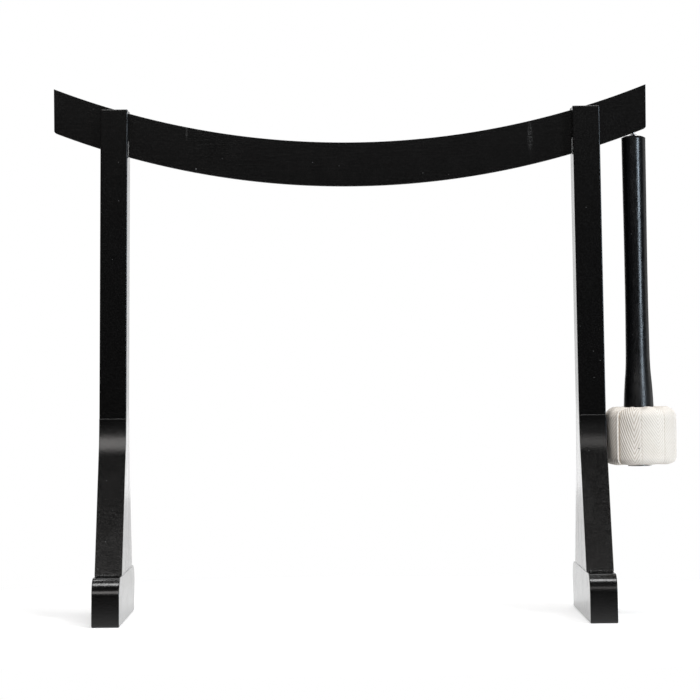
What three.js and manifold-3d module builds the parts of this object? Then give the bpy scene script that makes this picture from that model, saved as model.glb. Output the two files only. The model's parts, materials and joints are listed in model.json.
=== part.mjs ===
// Gong stand: a curved crossbar dropped into two forked legs, with a mallet hanging at one end.
// Millimetres. +X to the right as seen from the front, +Y to the back, +Z up, floor at zero.
import * as THREE from 'three';
import { mergeVertices } from 'three/addons/utils/BufferGeometryUtils.js';
import Module from 'manifold-3d';

const wasm = await Module();
wasm.setup();

// Clearance that every joint shares, how far a cutting tool runs past its piece, and facet counts
const FIT = 0.3;
const OVERRUN = 4;
const ROUND_SIDES = 20;
const EASE_STEPS = 2;

// Legs: a post with an open fork, two flares and a foot, leaning out a little towards the floor
const LEG_WIDTH = 25;
const LEG_HEIGHT = 472;
const LEG_SPACING_AT_FLOOR = 447.8;
const LEG_LEAN_DEGREES = 0.7;
const FORK_DEPTH = 28;
const POST_DEPTH = 36;
const WOOD_EASE = 0.8;

const FOOT_LENGTH = 203;
const FOOT_HEIGHT = 44;
const FOOT_NOSE_RADIUS = 17;
const FOOT_SOLE_CHAMFER = 1.5;
const NOSE_STEPS = 10;

const FLARE_TOP_HEIGHT = 186;
const FLARE_TIP = 1.2;
const FLARE_REACH = 48;
const FLARE_RADIUS = 97;
const FLARE_EASE = 0.4;
const FLARE_STEPS = 10;

// Crossbar: one board sawn to an arc, the same height all along, notched over both legs
const BAR_OVERHANG = 43.9;
const BAR_DEPTH = 40.5;
const BAR_THICKNESS = 10;
const BAR_RADIUS = 755;
const BAR_CORNER_RADIUS = 1;
const BAR_NOTCH_DEPTH = 11.8;
const BAR_STEPS = 60;

// Dowels between post and foot, and the screws that hold the flares from below
const DOWEL_DIAMETER = 8;
const DOWEL_LENGTH = 40;
const DOWEL_SPACING = 19;
const DOWEL_CHAMFER = 0.8;
const DOWEL_END_ROOM = 1;

const SCREW_DIAMETER = 3.5;
const SCREW_LENGTH = 60;
const SCREW_HEAD_DIAMETER = 7;
const SCREW_HEAD_HEIGHT = 2.2;
const SCREW_POINT = 5;
const SCREW_SINK = 0.8;
const SCREW_REACH = 20;
const RECESS_WIDTH = 1.2;
const RECESS_LENGTH = 4.2;
const RECESS_DEPTH = 1;

// Screw hook in the middle of the crossbar's underside, with its bend in front of its shank
const HOOK_FROM_BAR_END = 11.6;
const HOOK_WIRE = 1.6;
const HOOK_BEND_RADIUS = 2;
const HOOK_BEND_DROP = 1.6;
const HOOK_SINK = 14;
const HOOK_THREAD_DIAMETER = 2.6;
const HOOK_TIP_DEGREES = 65;
const HOOK_SHANK_STEPS = 3;
const HOOK_STEPS = 24;
const WIRE_SIDES = 10;

// Screw eye in the mallet's end, whose ring faces the front and hangs in the hook
const EYE_WIRE = 1.8;
const EYE_BORE = 5;
const EYE_SHANK_DIAMETER = 2.4;
const EYE_SHANK_LENGTH = 16;
const EYE_STEPS = 28;

// Mallet handle, turned in one piece with a spigot that runs through the head
const HANDLE_LENGTH = 253.2;
const HANDLE_ABOVE_PIVOT = 0.6;
const HANDLE_TOP_DIAMETER = 22.3;
const HANDLE_WAIST_DIAMETER = 21.4;
const HANDLE_NECK_DIAMETER = 22.5;
const HANDLE_SHOULDER_DIAMETER = 27.8;
const HANDLE_DOME = 2;
const HANDLE_FLARE_LENGTH = 45;
const HANDLE_WAIST_LOW = 100;
const HANDLE_WAIST_HIGH = 150;
const EYE_RECESS_ROOM = 1.2;
const SPIGOT_DIAMETER = 14;
const HANDLE_STEPS = 18;
const HANDLE_SIDES = 32;

// Mallet head, a little off the handle's axis: a firm core under nine lapped bands of cotton tape
const HEAD_DIAMETER = 66;
const HEAD_HEIGHT = 53.8;
const HEAD_OFFSET = 1.4;
const HEAD_TOP_RADIUS = 10;
const HEAD_BOTTOM_RADIUS = 7;
const COVER_THICKNESS = 2.4;
const COVER_SWELL = 1.6;
const WASHER_DIMPLE = 0.3;
const TAPE_BANDS = 9;
const TAPE_SEAM_DEGREES = -94.6;
const TAPE_LAP = 0.9;
const TAPE_LAP_SHARE = 0.6;
const TAPE_PLEAT = 1.6;
const TAPE_BOTTOM_PLEAT_SHARE = 0.3;
const TAPE_COLUMN_SHARES = [0, 0.12, 0.4, 0.7, 0.97];
const CORNER_STEPS = 4;
const CORE_CORNER_STEPS = 3;

// Domed washer and countersunk screw that keep the head on its spigot
const WASHER_DIAMETER = 22;
const WASHER_RIM = 1.5;
const WASHER_HEIGHT = 1.7;
const END_SCREW_DIAMETER = 3.5;
const END_SCREW_LENGTH = 25;
const END_SCREW_HEAD_DIAMETER = 8;

const LACQUER = { color: 0x151413, roughness: 0.32, metalness: 0 };
const BEECH = { color: 0xb99a6b, roughness: 0.75, metalness: 0 };
const ZINC = { color: 0x9a9a96, roughness: 0.4, metalness: 1 };
const NICKEL = { color: 0xb8b6b0, roughness: 0.22, metalness: 1 };
const BLACK_HANDLE = { color: 0x17181c, roughness: 0.38, metalness: 0 };
const FELT = { color: 0x8c8478, roughness: 0.95, metalness: 0 };
const COTTON = { color: 0xe6dfd4, roughness: 0.92, metalness: 0 };

const LEAN = Math.tan(THREE.MathUtils.degToRad(LEG_LEAN_DEGREES));

// Distance from mid-span to the middle of a leg at a height
function legCentreAt(height) {
  return LEG_SPACING_AT_FLOOR / 2 - LEAN * height;
}

// The crossbar hangs by the roofs of its notches on the floors of the forks
const FORK_FLOOR = LEG_HEIGHT - FORK_DEPTH;
const FORK_WIDTH = BAR_THICKNESS + 2 * FIT;
const NOTCH_ROOF = FORK_FLOOR + FIT;
const LEG_CENTRE_AT_BAR = legCentreAt(FORK_FLOOR);
const BAR_HALF = LEG_CENTRE_AT_BAR + LEG_WIDTH / 2 + BAR_OVERHANG;

function riseOfArc(x) {
  return BAR_RADIUS - Math.sqrt(BAR_RADIUS * BAR_RADIUS - x * x);
}

const BAR_UNDERSIDE = NOTCH_ROOF - BAR_NOTCH_DEPTH - riseOfArc(LEG_CENTRE_AT_BAR);
const BAR_ARC_CENTRE = BAR_UNDERSIDE + BAR_RADIUS;

function undersideAt(x) {
  return BAR_UNDERSIDE + riseOfArc(x);
}

function toSolid(geometry) {
  const bare = geometry.clone();
  bare.deleteAttribute('normal');
  bare.deleteAttribute('uv');
  const merged = mergeVertices(bare);
  return new wasm.Manifold(new wasm.Mesh({
    numProp: 3,
    vertProperties: new Float32Array(merged.attributes.position.array),
    triVerts: new Uint32Array(merged.index.array),
  }));
}

function toGeometry(solid) {
  const mesh = solid.getMesh();
  const geometry = new THREE.BufferGeometry();
  geometry.setAttribute('position', new THREE.BufferAttribute(mesh.vertProperties, 3));
  geometry.setIndex(new THREE.BufferAttribute(mesh.triVerts, 1));
  return geometry;
}

function cut(geometry, tools) {
  return toGeometry(tools.reduce((solid, tool) => solid.subtract(toSolid(tool)), toSolid(geometry)));
}

function join(geometries) {
  return toGeometry(geometries.map(toSolid).reduce((whole, piece) => whole.add(piece)));
}

function addMesh(group, name, geometry, finish) {
  const mesh = new THREE.Mesh(geometry, new THREE.MeshStandardMaterial(finish));
  mesh.name = name;
  group.add(mesh);
}

// A board of the given outline, centred on its thickness, with eased arrises
function board(outline, thickness, ease) {
  const depth = thickness - 2 * ease;
  const geometry = new THREE.ExtrudeGeometry(new THREE.Shape(outline), {
    depth,
    bevelThickness: ease,
    bevelSize: ease,
    bevelOffset: -ease,
    bevelSegments: EASE_STEPS,
  });
  return geometry.translate(0, 0, -depth / 2);
}

// Turns a board drawn front to back and up so that its thickness lies across the stand
function acrossStand(geometry) {
  const back = new THREE.Vector3(0, 1, 0);
  const up = new THREE.Vector3(0, 0, 1);
  const right = new THREE.Vector3(1, 0, 0);
  return geometry.applyMatrix4(new THREE.Matrix4().makeBasis(back, up, right));
}

// Leans a piece of a leg about the floor, with its level faces kept level
function leanOut(geometry, side) {
  return geometry.applyMatrix4(new THREE.Matrix4().makeShear(0, 0, 0, 0, -side * LEAN, 0));
}

// An upright cylinder from a low to a high end
function rod(diameter, low, high, sides = ROUND_SIDES) {
  const geometry = new THREE.CylinderGeometry(diameter / 2, diameter / 2, high - low, sides);
  return geometry.rotateX(Math.PI / 2).translate(0, 0, (low + high) / 2);
}

// A turned piece from pairs of radius and height, bottom first
function turned(pairs, sides = ROUND_SIDES) {
  return new THREE.LatheGeometry(outlineOf(pairs), sides).rotateX(Math.PI / 2);
}

// Pairs along an arc, from one angle to another
function arc(centreX, centreY, radius, from, to, steps) {
  return Array.from({ length: steps + 1 }, (_, i) => {
    const angle = THREE.MathUtils.lerp(from, to, i / steps);
    return [centreX + radius * Math.cos(angle), centreY + radius * Math.sin(angle)];
  });
}

function outlineOf(pairs) {
  return pairs.map(([x, y]) => new THREE.Vector2(x, y));
}

const HOOK_X = BAR_HALF - HOOK_FROM_BAR_END;
const HOOK_Z = undersideAt(HOOK_X) - HOOK_BEND_DROP;
const HOOK_TOP = undersideAt(HOOK_X) + HOOK_SINK;

function buildCrossbar() {
  const down = -Math.PI / 2;
  const bottomSweep = Math.asin((BAR_HALF - BAR_CORNER_RADIUS) / BAR_RADIUS);
  const topSweep = Math.asin(BAR_HALF / BAR_RADIUS);
  const corner = undersideAt(BAR_HALF) + BAR_CORNER_RADIUS;
  const sawn = board(outlineOf([
    [-BAR_HALF, corner],
    ...arc(0, BAR_ARC_CENTRE, BAR_RADIUS, down - bottomSweep, down + bottomSweep, BAR_STEPS),
    [BAR_HALF, corner],
    ...arc(0, BAR_ARC_CENTRE + BAR_DEPTH, BAR_RADIUS, down + topSweep, down - topSweep, BAR_STEPS),
  ]), BAR_THICKNESS, WOOD_EASE).rotateX(Math.PI / 2);
  const notches = [-1, 1].map((side) => {
    const notch = new THREE.BoxGeometry(LEG_WIDTH + 2 * FIT, BAR_THICKNESS + OVERRUN, BAR_DEPTH);
    notch.translate(0, 0, NOTCH_ROOF - BAR_DEPTH / 2);
    return leanOut(notch, side).translate(side * legCentreAt(0), 0, 0);
  });
  const bore = rod(HOOK_THREAD_DIAMETER + 2 * FIT, BAR_UNDERSIDE, HOOK_TOP + FIT);
  return cut(sawn, [...notches, bore.translate(HOOK_X, 0, 0)]);
}

function dowelBores() {
  const reach = DOWEL_LENGTH / 2 + DOWEL_END_ROOM;
  return [-1, 1].map((end) => rod(DOWEL_DIAMETER + 2 * FIT, FOOT_HEIGHT - reach, FOOT_HEIGHT + reach)
    .translate(0, end * DOWEL_SPACING / 2, 0));
}

// The screw of a flare stands under its thick lower end, its head just inside the sole
const SCREW_Y = POST_DEPTH / 2 + SCREW_REACH;

function screwBores() {
  return [-1, 1].flatMap((end) => [
    rod(SCREW_DIAMETER + 2 * FIT, -OVERRUN, SCREW_SINK + SCREW_LENGTH + FIT),
    rod(SCREW_HEAD_DIAMETER + 2 * FIT, -OVERRUN, SCREW_SINK + SCREW_HEAD_HEIGHT),
  ].map((bore) => bore.translate(0, end * SCREW_Y, 0)));
}

function buildPost() {
  const half = POST_DEPTH / 2;
  const slot = FORK_WIDTH / 2;
  const bottom = FOOT_HEIGHT + FIT;
  const outline = outlineOf([
    [-half, bottom], [half, bottom], [half, LEG_HEIGHT], [slot, LEG_HEIGHT],
    [slot, FORK_FLOOR], [-slot, FORK_FLOOR], [-slot, LEG_HEIGHT], [-half, LEG_HEIGHT],
  ]);
  return cut(acrossStand(board(outline, LEG_WIDTH, WOOD_EASE)), dowelBores());
}

function buildFoot() {
  const half = FOOT_LENGTH / 2;
  const noseY = half - FOOT_NOSE_RADIUS;
  const noseZ = FOOT_HEIGHT - FOOT_NOSE_RADIUS;
  const soleY = half - FOOT_SOLE_CHAMFER;
  const outline = outlineOf([
    [-half, FOOT_SOLE_CHAMFER], [-soleY, 0], [soleY, 0], [half, FOOT_SOLE_CHAMFER],
    ...arc(noseY, noseZ, FOOT_NOSE_RADIUS, 0, Math.PI / 2, NOSE_STEPS),
    ...arc(-noseY, noseZ, FOOT_NOSE_RADIUS, Math.PI / 2, Math.PI, NOSE_STEPS),
  ]);
  return cut(acrossStand(board(outline, LEG_WIDTH, WOOD_EASE)), [...dowelBores(), ...screwBores()]);
}

// A flare starts as a thin tip on the post, curves away from it and runs straight to the foot
function buildFlare(end) {
  const face = POST_DEPTH / 2 + FIT;
  const bottom = FOOT_HEIGHT + FIT;
  const centreY = face + FLARE_TIP + FLARE_RADIUS;
  const toeY = face + FLARE_REACH;
  const across = centreY - toeY;
  const rise = FLARE_TOP_HEIGHT - bottom;
  const slope = Math.atan2(rise, across) - Math.acos(FLARE_RADIUS / Math.hypot(across, rise));
  const pairs = [
    [face, bottom],
    [toeY, bottom],
    ...arc(centreY, FLARE_TOP_HEIGHT, FLARE_RADIUS, Math.PI + slope, Math.PI, FLARE_STEPS),
    [face, FLARE_TOP_HEIGHT],
  ];
  const outline = outlineOf(pairs.map(([y, z]) => [end * y, z]));
  return cut(acrossStand(board(outline, LEG_WIDTH, FLARE_EASE)), screwBores());
}

function buildDowel() {
  const radius = DOWEL_DIAMETER / 2;
  const half = DOWEL_LENGTH / 2;
  const end = radius - DOWEL_CHAMFER;
  const shoulder = half - DOWEL_CHAMFER;
  const dowel = turned([
    [0, -half], [end, -half], [radius, -shoulder], [radius, shoulder], [end, half], [0, half],
  ]);
  return dowel.translate(0, 0, FOOT_HEIGHT);
}

// A countersunk screw that stands point up on its head, with a cross recess in the head
function buildScrew(diameter, headDiameter, headHeight, length) {
  const radius = diameter / 2;
  const screw = turned([
    [0, 0], [headDiameter / 2, 0], [radius, headHeight], [radius, length - SCREW_POINT], [0, length],
  ]);
  const recess = [[RECESS_LENGTH, RECESS_WIDTH], [RECESS_WIDTH, RECESS_LENGTH]]
    .map(([x, y]) => new THREE.BoxGeometry(x, y, 2 * RECESS_DEPTH));
  return cut(screw, recess);
}

function buildLeg(name, side) {
  const leg = new THREE.Group();
  leg.position.x = side * legCentreAt(0);
  addMesh(leg, `${name}_post`, leanOut(buildPost(), side), LACQUER);
  addMesh(leg, `${name}_foot`, leanOut(buildFoot(), side), LACQUER);
  [['front', -1], ['back', 1]].forEach(([where, end]) => {
    const dowel = buildDowel().translate(0, end * DOWEL_SPACING / 2, 0);
    const screw = buildScrew(SCREW_DIAMETER, SCREW_HEAD_DIAMETER, SCREW_HEAD_HEIGHT, SCREW_LENGTH);
    screw.translate(0, end * SCREW_Y, SCREW_SINK);
    addMesh(leg, `${name}_${where}_flare`, leanOut(buildFlare(end), side), LACQUER);
    addMesh(leg, `${name}_${where}_dowel`, leanOut(dowel, side), BEECH);
    addMesh(leg, `${name}_${where}_flare_screw`, leanOut(screw, side), ZINC);
  });
  return leg;
}

// The wire comes down out of its thread and bends forward under and up to an open tip
function buildHook() {
  const section = new THREE.Shape(outlineOf(arc(0, 0, HOOK_WIRE / 2, 0, 2 * Math.PI, WIRE_SIDES).slice(1)));
  const tip = -Math.PI / 2 - THREE.MathUtils.degToRad(HOOK_TIP_DEGREES);
  const bend = arc(-HOOK_BEND_RADIUS, HOOK_Z, HOOK_BEND_RADIUS, 0, tip, WIRE_SIDES)
    .map(([y, z]) => new THREE.Vector3(HOOK_X, y, z));
  const shank = Array.from({ length: HOOK_SHANK_STEPS }, (_, i) => {
    const height = THREE.MathUtils.lerp(HOOK_TOP - HOOK_WIRE, HOOK_Z, i / HOOK_SHANK_STEPS);
    return bend[0].clone().setZ(height);
  });
  const extrudePath = new THREE.CatmullRomCurve3([...shank, ...bend], false, 'centripetal');
  const bent = new THREE.ExtrudeGeometry(section, { steps: HOOK_STEPS, extrudePath });
  const thread = rod(HOOK_THREAD_DIAMETER, undersideAt(HOOK_X), HOOK_TOP);
  return join([bent, thread.translate(HOOK_X, 0, 0)]);
}

// The mallet is drawn hanging straight down from the lowest point of the hook's wire, where it swings
const PIVOT_Z = HOOK_Z - HOOK_BEND_RADIUS;
const EYE_RADIUS = (EYE_BORE + EYE_WIRE) / 2;
const EYE_CENTRE = HOOK_WIRE / 2 + FIT - EYE_BORE / 2;
const EYE_RECESS_FLOOR = EYE_CENTRE - EYE_RADIUS - EYE_WIRE / 2 - FIT;
const HANDLE_TOP = HANDLE_ABOVE_PIVOT;
const SHOULDER = HANDLE_TOP - HANDLE_LENGTH;
const HEAD_TOP = SHOULDER + COVER_SWELL;
const HEAD_BOTTOM = HEAD_TOP - HEAD_HEIGHT;
const HEAD_MIDDLE = HEAD_TOP - HEAD_HEIGHT / 2;
const HEAD_RADIUS = HEAD_DIAMETER / 2;
const CORE_TOP = SHOULDER - FIT - COVER_THICKNESS - FIT;
const CLAMP_BOTTOM = HEAD_BOTTOM + WASHER_DIMPLE;
const CORE_BOTTOM = CLAMP_BOTTOM + COVER_THICKNESS + FIT;
const WASHER_TOP = CLAMP_BOTTOM - FIT;

function buildEye() {
  const ring = new THREE.TorusGeometry(EYE_RADIUS, EYE_WIRE / 2, WIRE_SIDES, EYE_STEPS);
  ring.rotateX(Math.PI / 2).translate(0, 0, EYE_CENTRE);
  const shankLow = EYE_RECESS_FLOOR - EYE_SHANK_LENGTH;
  return join([ring, rod(EYE_SHANK_DIAMETER, shankLow, EYE_CENTRE - EYE_RADIUS)]);
}

function buildHandle() {
  const top = HANDLE_TOP_DIAMETER / 2;
  const waist = HANDLE_WAIST_DIAMETER / 2;
  const shoulder = HANDLE_SHOULDER_DIAMETER / 2;
  const recess = EYE_RADIUS + EYE_WIRE / 2 + EYE_RECESS_ROOM;
  const neck = HANDLE_NECK_DIAMETER / 2;
  const outside = new THREE.SplineCurve(outlineOf([
    [shoulder, SHOULDER],
    [(shoulder + neck) / 2, SHOULDER + HANDLE_FLARE_LENGTH / 2],
    [neck, SHOULDER + HANDLE_FLARE_LENGTH],
    [waist, SHOULDER + HANDLE_WAIST_LOW],
    [waist, SHOULDER + HANDLE_WAIST_HIGH],
    [top, HANDLE_TOP - HANDLE_DOME],
  ])).getPoints(HANDLE_STEPS).map((point) => [point.x, point.y]);
  const pilot = END_SCREW_DIAMETER / 2 + FIT;
  const eyePilot = EYE_SHANK_DIAMETER / 2 + FIT;
  const spigot = SPIGOT_DIAMETER / 2;
  const spigotEnd = WASHER_TOP + FIT;
  const pilotTop = WASHER_TOP + END_SCREW_LENGTH;
  const eyePilotFloor = EYE_RECESS_FLOOR - EYE_SHANK_LENGTH - FIT;
  return turned([
    [0, pilotTop], [pilot, pilotTop], [pilot, spigotEnd], [spigot, spigotEnd], [spigot, SHOULDER],
    ...outside,
    [recess + HANDLE_DOME, HANDLE_TOP], [recess, HANDLE_TOP], [recess, EYE_RECESS_FLOOR],
    [eyePilot, EYE_RECESS_FLOOR], [eyePilot, eyePilotFloor], [0, eyePilotFloor],
  ], HANDLE_SIDES);
}

function buildCore() {
  const radius = HEAD_RADIUS - TAPE_LAP - COVER_THICKNESS - FIT;
  const low = HEAD_BOTTOM_RADIUS;
  const high = HEAD_TOP_RADIUS;
  const drum = turned([
    [0, CORE_BOTTOM],
    ...arc(radius - low, CORE_BOTTOM + low, low, -Math.PI / 2, 0, CORE_CORNER_STEPS),
    ...arc(radius - high, CORE_TOP - high, high, 0, Math.PI / 2, CORE_CORNER_STEPS),
    [0, CORE_TOP],
  ], HANDLE_SIDES);
  const bore = rod(SPIGOT_DIAMETER + 2 * FIT, CORE_BOTTOM - OVERRUN, CORE_TOP + OVERRUN, HANDLE_SIDES);
  return cut(drum.translate(HEAD_OFFSET, 0, 0), [bore]);
}

// Outside of the cover from below the washer, round the drum, to below the handle's shoulder
function coverOutside() {
  const bore = SPIGOT_DIAMETER / 2 + FIT;
  const washer = WASHER_DIAMETER / 2;
  const low = HEAD_BOTTOM_RADIUS;
  const high = HEAD_TOP_RADIUS;
  const collar = HANDLE_SHOULDER_DIAMETER / 2 + FIT;
  return [
    [bore, CLAMP_BOTTOM], [washer, CLAMP_BOTTOM], [washer + COVER_THICKNESS, HEAD_BOTTOM],
    ...arc(HEAD_RADIUS - low, HEAD_BOTTOM + low, low, -Math.PI / 2, 0, CORNER_STEPS),
    [HEAD_RADIUS, HEAD_MIDDLE],
    ...arc(HEAD_RADIUS - high, HEAD_TOP - high, high, 0, Math.PI / 2, CORNER_STEPS),
    [collar + COVER_SWELL, HEAD_TOP], [collar, SHOULDER - FIT], [bore, SHOULDER - FIT],
  ];
}

// Inside of the cover, one clearance off the core, from the top back to the bottom
function coverInside() {
  const radius = HEAD_RADIUS - TAPE_LAP - COVER_THICKNESS;
  const bore = SPIGOT_DIAMETER / 2 + FIT;
  const low = HEAD_BOTTOM_RADIUS;
  const high = HEAD_TOP_RADIUS;
  const top = CORE_TOP + FIT;
  const bottom = CORE_BOTTOM - FIT;
  return [
    [bore, top],
    ...arc(radius - high, top - high, high, Math.PI / 2, 0, CORE_CORNER_STEPS),
    ...arc(radius - low, bottom + low, low, 0, -Math.PI / 2, CORE_CORNER_STEPS),
    [bore, bottom],
  ];
}

// How far the tape lies in at a share of a band: behind the lap of its neighbour, and in the pleats
function tapeRelief(share) {
  const lap = TAPE_LAP * Math.max(0, 1 - share / TAPE_LAP_SHARE);
  const pleat = TAPE_PLEAT * Math.cos(Math.PI * share) ** 2;
  return { lap, pleat };
}

function buildCover() {
  const outside = coverOutside();
  const loop = [...outside, ...coverInside()];
  const pleatFrom = HANDLE_SHOULDER_DIAMETER / 2 + FIT + COVER_SWELL;
  const columns = Array.from({ length: TAPE_BANDS }, (_, band) =>
    TAPE_COLUMN_SHARES.map((share) => ({ share, turn: (band + share) / TAPE_BANDS }))).flat();
  const seam = THREE.MathUtils.degToRad(TAPE_SEAM_DEGREES);
  const positions = columns.flatMap(({ share, turn }) => {
    const angle = seam + 2 * Math.PI * turn;
    const { lap, pleat } = tapeRelief(share);
    return loop.flatMap(([radius, height], row) => {
      const shows = row < outside.length && radius >= pleatFrom;
      const side = THREE.MathUtils.smoothstep(radius, HEAD_RADIUS - HEAD_BOTTOM_RADIUS, HEAD_RADIUS);
      const inward = shows ? lap * side : 0;
      const depth = height > HEAD_MIDDLE ? pleat : -pleat * TAPE_BOTTOM_PLEAT_SHARE;
      const sunk = shows ? depth * (1 - side) : 0;
      const aside = radius > pleatFrom ? HEAD_OFFSET : 0;
      const reach = radius - inward;
      return [aside + reach * Math.cos(angle), reach * Math.sin(angle), height - sunk];
    });
  });
  const rows = loop.length;
  const index = columns.flatMap((_, column) => loop.flatMap((__, row) => {
    const here = column * rows;
    const next = ((column + 1) % columns.length) * rows;
    const after = (row + 1) % rows;
    return [here + row, next + row, next + after, here + row, next + after, here + after];
  }));
  const geometry = new THREE.BufferGeometry();
  geometry.setAttribute('position', new THREE.Float32BufferAttribute(positions, 3));
  geometry.setIndex(index);
  return geometry;
}

function buildWasher() {
  const rim = WASHER_DIAMETER / 2;
  const core = END_SCREW_DIAMETER / 2 + FIT;
  const seat = END_SCREW_HEAD_DIAMETER / 2 + FIT;
  const low = WASHER_TOP - WASHER_HEIGHT;
  const rimLow = WASHER_TOP - WASHER_RIM;
  const shoulder = (rim + seat) / 2;
  return turned([
    [seat, low], [shoulder, low], [rim, rimLow], [rim, WASHER_TOP], [core, WASHER_TOP], [seat, low],
  ], HANDLE_SIDES);
}

// The mallet hangs at the angle at which its head leans on the leg's outer face
function buildMallet() {
  const mallet = new THREE.Group();
  mallet.position.set(HOOK_X, -HOOK_BEND_RADIUS, PIVOT_Z);
  const legFace = legCentreAt(PIVOT_Z + HEAD_MIDDLE) + LEG_WIDTH / 2;
  const headReach = legFace + FIT + HEAD_RADIUS - HEAD_OFFSET - HOOK_X;
  mallet.rotation.y = Math.asin(headReach / HEAD_MIDDLE);
  const endScrew = buildScrew(END_SCREW_DIAMETER, END_SCREW_HEAD_DIAMETER, WASHER_HEIGHT, END_SCREW_LENGTH);
  endScrew.translate(0, 0, WASHER_TOP - WASHER_HEIGHT);
  addMesh(mallet, 'mallet_screw_eye', buildEye(), NICKEL);
  addMesh(mallet, 'mallet_handle', buildHandle(), BLACK_HANDLE);
  addMesh(mallet, 'mallet_core', buildCore(), FELT);
  addMesh(mallet, 'mallet_tape_cover', buildCover(), COTTON);
  addMesh(mallet, 'mallet_washer', buildWasher(), ZINC);
  addMesh(mallet, 'mallet_end_screw', endScrew, ZINC);
  return mallet;
}

const stand = new THREE.Group();
addMesh(stand, 'crossbar', buildCrossbar(), LACQUER);
stand.add(buildLeg('left', -1));
stand.add(buildLeg('right', 1));
addMesh(stand, 'mallet_hook', buildHook(), NICKEL);
stand.add(buildMallet());

// The origin is on the floor, in the middle of the space that the stand and its mallet take
stand.updateMatrixWorld(true);
const middle = new THREE.Box3().setFromObject(stand, true).getCenter(new THREE.Vector3());
stand.position.set(-middle.x, -middle.y, 0);

export default stand;
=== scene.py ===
# %% [markdown]
# # A black lacquered gong stand, dressed in Blender
#
# The stand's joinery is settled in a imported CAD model, and this lesson gives it its looks. Every piece is
# in metres and in the same place as its CAD solid, so nothing has to be fitted by eye. We load that frame
# first and keep its outer box, because the dressed stand must not outgrow it.

# %% Load the fixed frame
import json
import math

import bmesh
import bpy
import numpy as np
from mathutils import Matrix, Vector

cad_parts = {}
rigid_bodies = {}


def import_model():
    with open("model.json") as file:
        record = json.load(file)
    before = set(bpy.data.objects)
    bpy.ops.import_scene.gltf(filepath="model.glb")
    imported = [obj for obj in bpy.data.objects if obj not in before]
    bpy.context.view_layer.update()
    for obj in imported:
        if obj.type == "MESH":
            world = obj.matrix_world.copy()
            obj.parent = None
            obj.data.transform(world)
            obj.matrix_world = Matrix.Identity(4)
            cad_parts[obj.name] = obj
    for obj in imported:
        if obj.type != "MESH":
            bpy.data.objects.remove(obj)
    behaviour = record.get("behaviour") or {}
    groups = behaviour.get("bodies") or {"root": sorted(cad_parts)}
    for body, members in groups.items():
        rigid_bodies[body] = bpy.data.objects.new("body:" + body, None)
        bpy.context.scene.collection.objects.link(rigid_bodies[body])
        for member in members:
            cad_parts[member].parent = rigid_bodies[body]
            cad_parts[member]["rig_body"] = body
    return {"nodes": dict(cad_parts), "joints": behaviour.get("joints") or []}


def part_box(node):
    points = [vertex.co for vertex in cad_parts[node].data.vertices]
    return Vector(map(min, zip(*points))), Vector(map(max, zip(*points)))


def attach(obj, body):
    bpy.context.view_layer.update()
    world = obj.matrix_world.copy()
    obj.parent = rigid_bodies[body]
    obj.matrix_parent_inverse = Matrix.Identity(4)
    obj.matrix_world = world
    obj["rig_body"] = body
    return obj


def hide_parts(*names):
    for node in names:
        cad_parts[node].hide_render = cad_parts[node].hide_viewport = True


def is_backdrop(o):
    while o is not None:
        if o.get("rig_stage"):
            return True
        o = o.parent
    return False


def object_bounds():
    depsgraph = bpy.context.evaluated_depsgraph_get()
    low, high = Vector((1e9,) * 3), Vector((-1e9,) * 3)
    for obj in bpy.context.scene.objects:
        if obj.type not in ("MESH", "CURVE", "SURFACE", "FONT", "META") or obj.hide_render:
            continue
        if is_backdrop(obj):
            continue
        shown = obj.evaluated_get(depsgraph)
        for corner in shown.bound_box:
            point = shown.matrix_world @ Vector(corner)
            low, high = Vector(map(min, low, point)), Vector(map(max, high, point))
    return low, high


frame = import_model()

cad_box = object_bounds()
print("CAD box, metres:", [[round(value, 4) for value in corner] for corner in cad_box])

# %% [markdown]
# ## The camera
#
# The photograph was solved as a plain pinhole: a long lens almost three metres away, a little above the
# floor and very slightly rolled. That is why the stand looks so flat and graphic. The sensor width turns
# the focal length from pixels into Blender's millimetres, and three small rotations give the aim, so that
# it stays exactly where the solution put it.

# %% Set up the camera
MM = 0.001
QUARTER_TURN, FULL_TURN = math.pi / 2, 2 * math.pi
IMAGE_SIDE = 700
SENSOR_WIDTH = 36
FOCAL_PIXELS = 3028.9
CAMERA_PLACE = Vector((-22.58, -2817.4, 230.9)) * MM
CAMERA_YAW, CAMERA_PITCH, CAMERA_ROLL = -0.00278, 0.006, 0.0088


def add_object(name, data):
    thing = bpy.data.objects.new(name, data)
    bpy.context.scene.collection.objects.link(thing)
    return thing


camera_data = bpy.data.cameras.new("photo_camera")
camera_data.sensor_width = SENSOR_WIDTH
camera_data.lens = FOCAL_PIXELS / IMAGE_SIDE * SENSOR_WIDTH
camera = add_object("photo_camera", camera_data)
camera.matrix_world = (
    Matrix.Translation(CAMERA_PLACE)
    @ Matrix.Rotation(CAMERA_YAW, 4, "Z")
    @ Matrix.Rotation(CAMERA_PITCH + QUARTER_TURN, 4, "X")
    @ Matrix.Rotation(-CAMERA_ROLL, 4, "Z")
)
bpy.context.scene.camera = camera
print("lens", round(camera_data.lens, 1), "mm")

# %% [markdown]
# ## Helpers for node trees
#
# A material is a small network, and writing it link by link hides what it does. One helper plugs a link or
# a plain value into a socket. Most of the others add one kind of node, to the tree that its inputs come
# from, and hand back what comes out.

# %% Node helpers
def plug(tree, socket, value):
    if isinstance(value, bpy.types.NodeSocket):
        tree.links.new(value, socket)
    else:
        socket.default_value = value


def set_options(thing, options):
    for option, value in options.items():
        setattr(thing, option, value)


def add_node(tree, kind, feeds=None, **options):
    node = tree.nodes.new("ShaderNode" + kind)
    set_options(node, options)
    for socket, value in (feeds or {}).items():
        plug(tree, node.inputs[socket], value)
    return node.outputs


def feed(tree, node, **values):
    for label, value in values.items():
        plug(tree, node.inputs[label.replace("_", " ")], value)
    return node.outputs


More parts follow.
